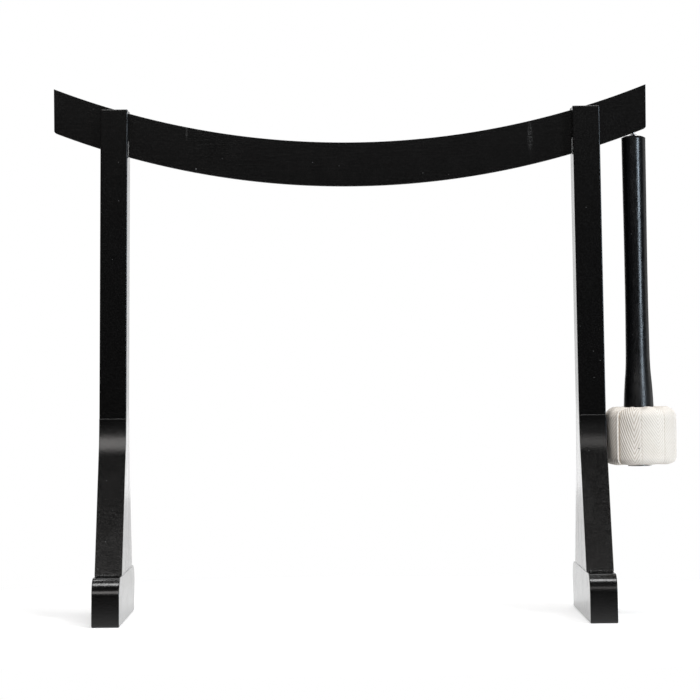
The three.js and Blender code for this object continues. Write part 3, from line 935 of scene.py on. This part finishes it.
# %% Bend the hook
HOOK_FROM_END = 11.6 * MM
HOOK_NECK = 1.6 * MM
HOOK_BEND = 2 * MM
HOOK_WIRE = 1.6 * MM
HOOK_SHANK = 1.3 * MM
HOOK_SINK = 14 * MM
HOOK_TIP = -QUARTER_TURN - math.radians(65)
HOOK_STEPS = 40
HOOK_ROUNDING = (0.92, 0.75, 0.4)
HOOK_THREAD_TAIL = 6
NECK_START = 0.2 * MM
NECK_STEPS = 8

hook_x = MID_SPAN + bar_half - HOOK_FROM_END
wood_face = bar_underside(hook_x - MID_SPAN)
hook_top, bend_z = wood_face + HOOK_SINK, wood_face - HOOK_NECK
thread_rows = np.arange(hook_top, wood_face, -THREAD_ROW)
neck_rows = np.linspace(wood_face - NECK_START, bend_z, NECK_STEPS, endpoint=False)
bend = arc_points((-HOOK_BEND, bend_z), HOOK_BEND, 0, HOOK_TIP, HOOK_STEPS)
hook_path = [(hook_x, 0, z) for z in (*thread_rows, *neck_rows)] + [(hook_x, y, z) for y, z in bend]
even_count = len(neck_rows) + len(bend) - len(HOOK_ROUNDING)
hook_radii = pointed(HOOK_SHANK - THREAD_DEPTH, thread_rows, hook_top, tip=0.2 * MM, taper=0.4)
hook_radii += [HOOK_WIRE / 2] * even_count + [HOOK_WIRE / 2 * share for share in HOOK_ROUNDING]
hook = sweep("mallet_hook_bent", hook_path, hook_radii, rolled_thread(thread_rows, HOOK_THREAD_TAIL))
settle(smooth_by_angle(hook, WIRE_ANGLE), "mallet_hook", bright_steel)

# %% [markdown]
# The eye's ring starts and ends at its lowest point, and a small gap is left where the wire comes round
# again.

# %% Bend the eye
EYE_SHANK = 1.2 * MM
EYE_SHANK_LENGTH = 16 * MM
EYE_OPENING = math.radians(14)
EYE_NECK = 1.1 * MM
EYE_STEPS = 64
EYE_THREAD_TAIL = 20

eye_low = EYE_HOLE_FLOOR - EYE_SHANK_LENGTH
eye_rows = np.arange(eye_low, EYE_CENTRE - EYE_RADIUS - EYE_NECK, THREAD_ROW)
ring_arc = arc_points((0, EYE_CENTRE), EYE_RADIUS, -QUARTER_TURN, 3 * QUARTER_TURN - EYE_OPENING, EYE_STEPS)
eye_path = [(0, 0, z) for z in eye_rows] + [(x, 0, z) for x, z in ring_arc]
eye_radii = pointed(EYE_SHANK - THREAD_DEPTH, eye_rows, eye_low, tip=0.15 * MM, taper=0.35)
eye_radii += [EYE_WIRE / 2] * len(ring_arc)
eye = hang_up(sweep("mallet_screw_eye_bent", eye_path, eye_radii, rolled_thread(eye_rows, EYE_THREAD_TAIL)))
settle(smooth_by_angle(eye, WIRE_ANGLE), "mallet_screw_eye", bright_steel)

# %% [markdown]
# ## Cotton tape
#
# The head is covered in herringbone cotton tape, whose twill ribs slant one way over part of its width and
# the other way over the rest. The ribs are real relief in the mesh, so this material adds only what is
# finer: the yarn's fuzz, painted shade that darkens the grooves and the seams, a little staining, and
# flecks of grime, one of them where the photograph has it.

# %% Build the cotton tape
COTTON_LIGHT = (0.86, 0.815, 0.755, 1)
# painted shade: the darker, browner colour laid into the grooves between ribs and along the seams
COTTON_PAINTED_SHADE = (0.48, 0.405, 0.32, 1)
COTTON_STAIN = (0.62, 0.56, 0.47, 1)
FLECK_BROWN = (0.06, 0.05, 0.04, 1)
FLECK = {"Centre": (0.2499, -0.0346, 0.1548), "Size": (0.9 * MM, 4 * MM, 0.9 * MM), "Solid": 1.0}
GRIME = {"Speck_Spacing": 11 * MM, "Speck_Radius": 0.05, "Speck_Share": 0.06}
FUZZ_SIZE = MM / 2.6
FUZZ_STRENGTH = 0.5
FUZZ_RELIEF = 0.05 * MM
STAIN_SIZE = 1 / 45
STAINED = (0.5, 0.8)
STAIN_SHOWS = (0, 0.35)
GRIME_SHOWS = 0.8


def make_cotton():
    material, tree, place = start_material("herringbone cotton tape")
    # this attribute carries painted shade, how dark the cotton is painted in the grooves and at the seams
    painted_groove_shade = add_node(tree, "Attribute", attribute_name="painted_groove_shade")["Fac"]
    fuzz = noise(place, FUZZ_SIZE, detail=3)
    stain = remap(noise(place, STAIN_SIZE, detail=5), STAINED, STAIN_SHOWS)
    grime = place_group(tree, dust_group, Vector=place, **GRIME)["Specks"]
    fleck = place_group(tree, rub_group, Vector=place, **FLECK)["Mask"]
    flecks = calculate("MAXIMUM", calculate("MULTIPLY", grime, GRIME_SHOWS), fleck)
    colour = mix_colours(painted_groove_shade, COTTON_LIGHT, COTTON_PAINTED_SHADE)
    colour = mix_colours(stain, colour, COTTON_STAIN)
    colour = mix_colours(flecks, colour, FLECK_BROWN)
    looks = {"Roughness": 0.95, "Sheen_Weight": 0.06, "Sheen_Roughness": 0.5}
    finish_material(tree, fuzz, FUZZ_RELIEF, FUZZ_STRENGTH, Base_Color=colour, **looks)
    return material


cotton = make_cotton()
print("finish:", cotton.name)

# %% [markdown]
# ## The wound head
#
# Nine bands of tape run from under the handle down over the drum to the washer, each lapping the next. The
# tape is pulled tight, so we model it directly: an outline spun round the axis whose radius knows where it
# is across each band. It lies low where it dives under its neighbour, rises to a rolled edge, and steps
# down sharply. Near the ends, where the bands crowd together, it puckers instead.

# %% Outline of the head
HEAD_RADIUS = 33 * MM
HEAD_TOP_RADIUS = 10 * MM
HEAD_BOTTOM_RADIUS = 7 * MM
WASHER_RADIUS = 11 * MM
COVER_THICKNESS = 2.4 * MM
COVER_BORE = SPIGOT_RADIUS + CLEARANCE
COLLAR = HANDLE_RADII[0][1] * MM + CLEARANCE
PLEATED = COLLAR + COVER_SWELL
COVER_TOP = SHOULDER - CLEARANCE
TAPE_LAP = 0.9 * MM
ROW_STEP = 0.62 * MM


def round_corners(radius, top, bottom, steps):
    low, high = HEAD_BOTTOM_RADIUS, HEAD_TOP_RADIUS
    lower = arc_points((radius - low, bottom + low), low, -QUARTER_TURN, 0, steps[0])
    return lower + arc_points((radius - high, top - high), high, 0, QUARTER_TURN, steps[1])


def even_steps(outline, step):
    points = np.array(outline)
    lengths = np.concatenate([[0], np.cumsum(np.linalg.norm(np.diff(points, axis=0), axis=1))])
    stops = np.linspace(0, lengths[-1], int(lengths[-1] / step) + 1)
    return np.column_stack([np.interp(stops, lengths, points[:, k]) for k in (0, 1)]), stops


outside_of_head = [
    (COVER_BORE, CLAMP_BOTTOM), (WASHER_RADIUS, CLAMP_BOTTOM),
    (WASHER_RADIUS + COVER_THICKNESS, HEAD_BOTTOM),
    *round_corners(HEAD_RADIUS, HEAD_TOP, HEAD_BOTTOM, (12, 16)),
    (PLEATED, HEAD_TOP), (COLLAR, COVER_TOP), (COVER_BORE, COVER_TOP),
]
head_rows, tape_run = even_steps(outside_of_head, ROW_STEP)
print("head outline:", len(head_rows), "rows over", round(tape_run[-1] / MM, 1), "mm of tape")

# %% [markdown]
# ## Each band of tape
#
# No two bands are wound alike, so each has its own values, drawn at random with a fixed seed. Three can be
# read from the photograph: numbers 0 and -1 meet at the seam in front, and number -2 is grazed by the view
# at the left edge, where its ribs look coarser and hardly turn.

# %% Values for each band
TAPE_BANDS = 9
BAND_COLUMNS = 56
SEAM_ANGLE = math.radians(-94.6)
RIB_SPACING = 2.45 * MM
TURN_SHARE = 0.70
GRAZED_BAND = -2
GRAZED_TURN_SHARE = 0.12
GRAZED_SPACING_SHARE = 1.5
BANDS_IN_VIEW = [-2, -1, 0]
dice = np.random.default_rng(9)

wander_phases = dice.uniform(0, 6, 3)
band_shift = dice.uniform(-1, 1, TAPE_BANDS) * 0.25 * MM
rib_rise = dice.uniform(0.3, 0.6, TAPE_BANDS)
rib_rise[BANDS_IN_VIEW] = 0.9, 0.30, 0.60
rib_strength = dice.uniform(0.7, 1.0, TAPE_BANDS)
rib_strength[BANDS_IN_VIEW] = 1.0, 1.35, 0.85
seam_strength = dice.uniform(0.4, 0.9, TAPE_BANDS)
seam_strength[BANDS_IN_VIEW[1:]] = 1.0, 0.22
turn_share = np.full(TAPE_BANDS, TURN_SHARE)
turn_share[GRAZED_BAND] = GRAZED_TURN_SHARE
rib_spacing = np.full(TAPE_BANDS, RIB_SPACING)
rib_spacing[GRAZED_BAND] *= GRAZED_SPACING_SHARE
print("ribs climb", [round(value, 2) for value in rib_rise])

# %% [markdown]
# ## Ribs, laps and puckers
#
# Working on whole arrays at once keeps this fast: one axis runs round the head and the other along the
# tape. Ribs are a sine's humps, partly smoothed along the band's woven edge. Slow waves make the drum a
# little uneven.

# %% Relief of the tape
BAND_WIDTH = 23 * MM
RIB_DEPTH = 0.5 * MM
RIB_BEND = 0.5
RIB_FULLNESS = 0.8
SELVEDGE_SHARE = 0.12
SELVEDGE_SMOOTHED = 0.35
LAP_SHARE = 0.6
CREVICE_DEPTH = 0.5 * MM
CREVICE_SHARE = 0.035
ROLL_HEIGHT = 0.4 * MM
ROLL_MIDDLE = 0.95
ROLL_SHARE = 0.04
PUCKER = 2.1 * MM
BOTTOM_PUCKER_SHARE = 0.3
WANDER = ((0.16 * MM, 2, 60), (0.12 * MM, 5, 120), (0.08 * MM, 11, 210))


def bell(share, middle, width):
    return np.exp(-(((share - middle) / width) ** 2))


shares = np.tile(np.arange(BAND_COLUMNS) / BAND_COLUMNS, TAPE_BANDS)
bands = np.repeat(np.arange(TAPE_BANDS), BAND_COLUMNS)
angles = SEAM_ANGLE + FULL_TURN * (bands + shares) / TAPE_BANDS
share, run = np.meshgrid(shares, tape_run)
radius, height = (np.repeat(head_rows[:, k:k + 1], len(shares), axis=1) for k in (0, 1))

slant = np.where(share < turn_share[bands], 1, -1)
full_run = tape_run[-1]
climb = rib_rise[bands] * run - RIB_BEND * full_run / 3 * (1 - run / full_run) ** 3
phase = ((share * BAND_WIDTH - turn_share[bands] * BAND_WIDTH) * slant + climb) / rib_spacing[bands]
rib = np.abs(np.sin(math.pi * phase)) ** RIB_FULLNESS
rib += SELVEDGE_SMOOTHED * (1 - rib) * np.clip(2 - (1 - share) / (SELVEDGE_SHARE / 2), 0, 1)

ends = np.clip((radius - COLLAR) / (HEAD_RADIUS - COLLAR), 0, 1)
side = np.clip((radius - (HEAD_RADIUS - HEAD_BOTTOM_RADIUS)) / HEAD_BOTTOM_RADIUS, 0, 1)
side = side * side * (3 - 2 * side)
here_strength, next_strength = seam_strength[bands], np.roll(seam_strength, -1)[bands]
lap = TAPE_LAP * here_strength * np.clip(1 - share / LAP_SHARE, 0, 1)
crevice = CREVICE_DEPTH * here_strength * bell(share, 0, CREVICE_SHARE)
roll = ROLL_HEIGHT * next_strength * bell(share, ROLL_MIDDLE, ROLL_SHARE)
rib_relief = RIB_DEPTH * rib_strength[bands] * (1 - rib)
wander = sum(
    amount * np.sin(angles * turns + run * waves + start)
    for (amount, turns, waves), start in zip(WANDER, wander_phases)
)
inward = side * (lap + crevice - roll) + ends * (rib_relief - wander - band_shift[bands] * side)
pucker = PUCKER * np.cos(math.pi * share) ** 2 * (1 - side) * (radius > PLEATED - CLEARANCE)
pucker = np.where(height > (HEAD_TOP + HEAD_BOTTOM) / 2, pucker, -pucker * BOTTOM_PUCKER_SHARE)
print("relief from", round(inward.min() / MM, 2), "to", round(inward.max() / MM, 2), "mm")

# %% [markdown]
# ## Close the cover
#
# The cover is a shell round the felt core, so its outside needs an inside. We push every outside point
# inwards, square to the outline, add a few plain rows for the inside, and wrap the whole as one closed
# grid. The head isn't quite centred on its handle, so below the pleats everything moves aside. How deep a
# point lies between the ribs, and how near it lies to a seam's crevice, goes into a point attribute that
# the material paints as shade: a darker, browner cotton in the grooves and along the seams.

# %% Wind the cover
HEAD_OFFSET = 1.4 * MM
INSIDE_STEPS = 4
# how widely and how strongly the painted shade darkens the seams and the rib grooves
SEAM_SHADE_SHARE = 0.04
RIB_SHADE = 0.9
RIB_SHADE_FALL = 1.5


def spin(radius, height, angles, aside=0):
    x, y = aside + radius * np.cos(angles), radius * np.sin(angles)
    return np.stack(np.broadcast_arrays(x, y, height), axis=-1)


def wrap_grid(name, points):
    rows, columns = points.shape[:2]
    here = np.arange(rows * columns).reshape(rows, columns)
    there = np.roll(here, -1, axis=0)
    quads = np.stack([here, np.roll(here, -1, axis=1), np.roll(there, -1, axis=1), there], axis=-1)
    return link_mesh(name, points.reshape(-1, 3).tolist(), quads.reshape(-1, 4).tolist())


tangent = np.gradient(head_rows, axis=0)
tangent /= np.linalg.norm(tangent, axis=1)[:, None]
new_radius = radius - inward * tangent[:, 1:]
new_height = height + inward * tangent[:, :1] - pucker
aside = HEAD_OFFSET * np.clip((radius - PLEATED) / (HEAD_RADIUS - HEAD_TOP_RADIUS - PLEATED), 0, 1)
outside = spin(new_radius, new_height, angles, aside)

inside_top, inside_bottom = COVER_TOP - COVER_THICKNESS, CLAMP_BOTTOM + COVER_THICKNESS
drum_radius = HEAD_RADIUS - TAPE_LAP - COVER_THICKNESS
drum = round_corners(drum_radius, inside_top, inside_bottom, (INSIDE_STEPS, INSIDE_STEPS))
inside_rows = np.array([(COVER_BORE, inside_top), *reversed(drum), (COVER_BORE, inside_bottom)])
inside_radius = inside_rows[:, :1]
inside = spin(inside_radius, inside_rows[:, 1:], angles, HEAD_OFFSET * (inside_radius > COVER_BORE))
cover = wrap_grid("mallet_tape_wound", np.concatenate([outside, inside]))

# painted shade: the rib grooves and the crevice at each seam are darkened in colour, stored per point
painted_groove_shade = np.zeros((len(outside) + len(inside), len(angles)))
rib_shade = RIB_SHADE * rib_strength[bands] * (1 - rib) ** RIB_SHADE_FALL
seam_shade = here_strength * bell(share, 0, SEAM_SHADE_SHARE) * side
painted_groove_shade[: len(outside)] = np.clip(rib_shade + seam_shade, 0, 1)
cover.data.attributes.new("painted_groove_shade", "FLOAT", "POINT").data.foreach_set("value", painted_groove_shade.ravel())
cover.data.shade_smooth()
settle(hang_up(cover), "mallet_tape_cover", cotton)

# %% [markdown]
# ## The washer
#
# A domed washer keeps the head on its spigot. Its outline is given in millimetres, as a radius and how far
# it lies under the washer's flat top.

# %% Turn the washer
WASHER_SIDES = 64
WASHER_ANGLE = 50
WASHER_HEIGHT = 1.7 * MM
WASHER_OUTLINE = [(4.3, 1.7), (7.3, 1.68), (9.4, 1.6), (10.6, 1.45), (11, 1.2), (11, 0), (2.05, 0)]

washer_rows = np.array([(radius * MM, WASHER_TOP - drop * MM) for radius, drop in WASHER_OUTLINE])
washer_angles = np.linspace(0, FULL_TURN, WASHER_SIDES, endpoint=False)
washer = wrap_grid("mallet_washer_domed", spin(washer_rows[:, :1], washer_rows[:, 1:], washer_angles))
smooth_by_angle(hang_up(face_outward(washer)), WASHER_ANGLE)
settle(washer, "mallet_washer", zinc_steel)

# %% [markdown]
# ## The screws
#
# The countersunk screw under the head and the four that come up through the feet are the same small turned
# piece: a cross recess cut by two boxes, and a thread that runs to a point.

# %% Cut a screw
SCREW_SIDES = 24
SCREW_PITCH = 1.6 * MM
SCREW_ROW = 0.2 * MM
SCREW_WIRE = 3.5 * MM
SCREW_MIDDLE = 0.3 * MM
RIM_WIDTH = 0.1 * MM
RIM_HEIGHT = 0.15 * MM
TIP_CUT = 0.3 * MM
THREAD_FROM_HEAD = 6 * MM
THREAD_FROM_TIP = 1.5 * MM
RECESS_WIDE = 4.2 * MM
RECESS_NARROW = 1.2 * MM
RECESS_TALL = 2 * MM


def box_faces(wide, deep, tall):
    corners = [(x * wide / 2, y * deep / 2, z * tall / 2) for x in (-1, 1) for y in (-1, 1) for z in (-1, 1)]
    return corners, [(0, 1, 3, 2), (4, 6, 7, 5), (0, 4, 5, 1), (2, 3, 7, 6), (0, 2, 6, 4), (1, 5, 7, 3)]


def cut_screw(name, head_diameter, head_height, length):
    core, rim = SCREW_WIRE / 2 - THREAD_DEPTH, head_diameter / 2
    rows = np.arange(head_height + SCREW_ROW, length - TIP_CUT, SCREW_ROW)
    outline = [(SCREW_MIDDLE, 0), (rim - RIM_WIDTH, 0), (rim, RIM_HEIGHT), (core, head_height)]
    outline += list(zip(pointed(core, rows, length, tip=0.15 * MM, taper=0.28), rows))

    def threads(height, angle):
        started = head_height + THREAD_FROM_HEAD < height < length - THREAD_FROM_TIP
        return thread_swell(height, angle, SCREW_PITCH) if started else 0

    screw = turn(name, outline, SCREW_SIDES, threads)
    for wide, deep in ((RECESS_WIDE, RECESS_NARROW), (RECESS_NARROW, RECESS_WIDE)):
        blade = link_mesh("recess", *box_faces(wide, deep, RECESS_TALL))
        shape_with(screw, "BOOLEAN", object=blade, operation="DIFFERENCE", solver="EXACT")
        bpy.data.objects.remove(blade)
    return screw


end_screw = cut_screw("mallet_end_screw_cut", 8 * MM, WASHER_HEIGHT, length=25 * MM)
end_screw.data.transform(Matrix.Translation((0, 0, WASHER_TOP - WASHER_HEIGHT)))
settle(smooth_by_angle(hang_up(end_screw)), "mallet_end_screw", zinc_steel)

# %% [markdown]
# The flares' screws stand in the feet, so they lean with their leg by the same shear as its boards.

# %% Screws under the feet
SCREW_Y = POST_DEPTH / 2 + 20 * MM
SCREW_SINK = 0.8 * MM

for name, side in LEGS:
    for where, end in ENDS:
        node = f"{name}_{where}_flare_screw"
        screw = cut_screw(f"{node}_cut", head_diameter=7 * MM, head_height=2.2 * MM, length=60 * MM)
        for vertex in screw.data.vertices:
            x, y, z = vertex.co
            z += SCREW_SINK
            vertex.co = (x + MID_SPAN + side * leg_centre(z), y + end * SCREW_Y, z)
        settle(smooth_by_angle(screw), node, zinc_steel)

# %% [markdown]
# ## What stays hidden
#
# The dowels and the felt core never show, so their CAD solids stay as they are. They still get a real
# finish each, because someone may take the stand apart.

# %% Finish the hidden nodes
BEECH_COLOURS = (0.52, 0.35, 0.19, 1), (0.36, 0.21, 0.10, 1)
FELT_COLOURS = (0.24, 0.22, 0.19, 1), (0.36, 0.33, 0.29, 1)
BEECH_RELIEF = 0.08 * MM
FELT_RELIEF = 0.5 * MM
FIBRE_SIZE = MM / 0.9


def make_beech():
    material, tree, place = start_material("bare beech")
    wood = place_group(tree, grain_group, Vector=place, Grain_Width=0.4 * MM, Grain_Length=4 * MM)
    colour = mix_colours(remap(wood["Grain"], MIDDLE_NOISE), *BEECH_COLOURS)
    finish_material(tree, wood["Height"], BEECH_RELIEF, Base_Color=colour, Roughness=0.65)
    return material


def make_felt():
    material, tree, place = start_material("pressed felt")
    fibre = noise(place, FIBRE_SIZE, detail=6)
    colour = mix_colours(remap(fibre, MIDDLE_NOISE), *FELT_COLOURS)
    finish_material(tree, fibre, FELT_RELIEF, Base_Color=colour, Roughness=1.0)
    return material


def refinish(node, material):
    data = frame["nodes"][node].data
    for place in range(len(data.materials)):
        data.materials[place] = material


beech, felt = make_beech(), make_felt()
for name in frame["nodes"]:
    if name.endswith("_dowel"):
        refinish(name, beech)
refinish("mallet_core", felt)
print("kept nodes:", [n for n, o in frame["nodes"].items() if not o.hide_render])

# %% [markdown]
# ## The floor
#
# The photograph's ground is blown out to white. A pale floor with a little light of its own gets there
# without flooding the stand, and still keeps a soft shadow under the feet. To the lacquer, though, the
# studio in front is dark, so for every ray but the camera's the floor fades out a short way in front of the
# stand.

# %% Lay the floor
FLOOR_REACH = 12.0
FLOOR_DROP = 0.2 * MM
FLOOR_PAINT = (0.85, 0.85, 0.85, 1)
UNLIT_PAINT = (0.02, 0.02, 0.02, 1)
WHITE = (1, 1, 1, 1)
FLOOR_GLOW = 0.45
MIRRORED_FROM_Y = (-0.38, -0.05)
MIRRORED_SHARE = 0.98
WHITE_FROM_REACH = (0.32, 0.55)


def mix_shaders(share, first, second):
    return add_node(tree_of(share), "MixShader", {0: share, 1: first, 2: second})[0]


def paint_floor():
    material, tree, place = start_material("pale floor")
    tree.nodes.remove(tree.nodes["Principled BSDF"])
    seen = add_node(tree, "LightPath")["Is Camera Ray"]
    mirrored = remap(component(place, "Y"), MIRRORED_FROM_Y, (0, MIRRORED_SHARE))
    reach = combine("LENGTH", place)["Value"]
    far_off = calculate("MULTIPLY", remap(reach, WHITE_FROM_REACH), seen)
    paper, dark = (
        add_node(tree, "BsdfDiffuse", {"Color": paint})[0] for paint in (FLOOR_PAINT, UNLIT_PAINT)
    )
    glow, white = (
        add_node(tree, "Emission", {"Color": WHITE, "Strength": strength})[0]
        for strength in (FLOOR_GLOW, 1.0)
    )
    pale = add_node(tree, "AddShader", {0: paper, 1: glow})[0]
    near_part = mix_shaders(calculate("MAXIMUM", mirrored, seen), dark, pale)
    tree.links.new(mix_shaders(far_off, near_part, white), tree.nodes["Material Output"].inputs[0])
    return material


corner_signs = (-1, -1), (1, -1), (1, 1), (-1, 1)
floor_corners = [(x * FLOOR_REACH, y * FLOOR_REACH, -FLOOR_DROP) for x, y in corner_signs]
floor = link_mesh("floor", floor_corners, [(0, 1, 2, 3)])
floor.data.materials.append(paint_floor())
floor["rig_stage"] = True
print("floor laid")

# %% [markdown]
# ## Light
#
# Black lacquer is lit by what it mirrors, so the photograph's highlights tell where the lights stood. A
# wide softbox in front, a little to the left, draws the band on the flares, and a smaller one carries it on
# to the right. A faint one low down lifts the posts' front faces. A strip almost overhead draws the fine
# line on the feet's noses, and one behind does the same for the crossbar's top and the back. A cool softbox
# at the right draws the streak down the handle. The key at the right lights the cotton and stands where no
# flare mirrors it, and a large fill beside it keeps the head's right side soft. A white wall behind turns
# the grazing inner faces almost white.
#
# Each row holds the direction in degrees, the distance, width and height in metres, the brightness and the
# colour. The brightness is against white, so moving or resizing a light doesn't change how strongly it is
# mirrored.

# %% Hang the lights
AIM = Vector((0, 0, 0.25))
NEUTRAL, WARM, WARMER, COOL = (1, 1, 1), (1.0, 0.97, 0.95), (1.0, 0.97, 0.94), (0.72, 0.86, 1.0)
LIGHTS = {
    "softbox_front": (-18.5, 24.7, 4.5, 2.9, 1.05, 3.8, WARM),
    "softbox_front_end": (8.3, 26.8, 4.5, 0.8, 0.9, 1.6, WARM),
    "low_front": (0, 12.5, 4.5, 1.5, 0.7, 0.2, NEUTRAL),
    "strip_overhead": (0, 79, 2.5, 1.2, 0.7, 11, NEUTRAL),
    "strip_behind": (180, 58, 2.5, 2.2, 0.35, 6.0, NEUTRAL),
    "softbox_right": (41.5, 8, 2.6, 0.45, 0.95, 19, COOL),
    "key_right": (33, 32, 4.5, 0.9, 2.2, 14.5, WARMER),
    "fill_right": (115, 8, 3.0, 2.4, 2.0, 0.5, NEUTRAL),
    "white_wall": (180, 12, 2.6, 2.0, 1.9, 1.0, NEUTRAL),
}

for name, (azimuth, elevation, distance, wide, tall, brightness, colour) in LIGHTS.items():
    turned, raised = math.radians(azimuth), math.radians(elevation)
    level = math.cos(raised)
    away = Vector((math.sin(turned) * level, -math.cos(turned) * level, math.sin(raised)))
    data = bpy.data.lights.new(name, "AREA")
    data.shape = "RECTANGLE"
    data.size, data.size_y = wide, tall
    data.energy = brightness * math.pi * wide * tall
    data.color = colour
    light = add_object(name, data)
    light.location = AIM + away * distance
    light.rotation_mode = "QUATERNION"
    light.rotation_quaternion = away.to_track_quat("Z", "Y")
    light.visible_camera = False
    print(name, [round(value, 2) for value in light.location])

# %% [markdown]
# The world is white to the camera and nearly black to everything else, like a studio whose far side is
# unlit.

# %% World and view
STUDIO_LIGHT = 0.05

world = bpy.data.worlds.new("studio")
bpy.context.scene.world = world
world.use_nodes = True
tree = world.node_tree
tree.nodes.clear()
seen = add_node(tree, "LightPath")["Is Camera Ray"]
studio, backdrop = (
    add_node(tree, "Background", {"Color": WHITE, "Strength": strength})[0]
    for strength in (STUDIO_LIGHT, 1.0)
)
add_node(tree, "OutputWorld", {0: mix_shaders(seen, studio, backdrop)})

scene = bpy.context.scene
scene.view_settings.view_transform = "Standard"
scene.view_settings.look = "None"
print("world ready")

# %% [markdown]
# ## Check the size
#
# We compare the dressed stand's box with the CAD model's box and print how far each side moved, in
# millimetres. The dressed stand has to stay inside the CAD model's box, apart from what cloth may
# stand proud.

# %% Print the sizes
dressed_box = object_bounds()
for which, before, after in zip(("lowest", "highest"), cad_box, dressed_box):
    print(which, [round((b - a) / MM, 2) for a, b in zip(before, after)], "mm from the CAD box")
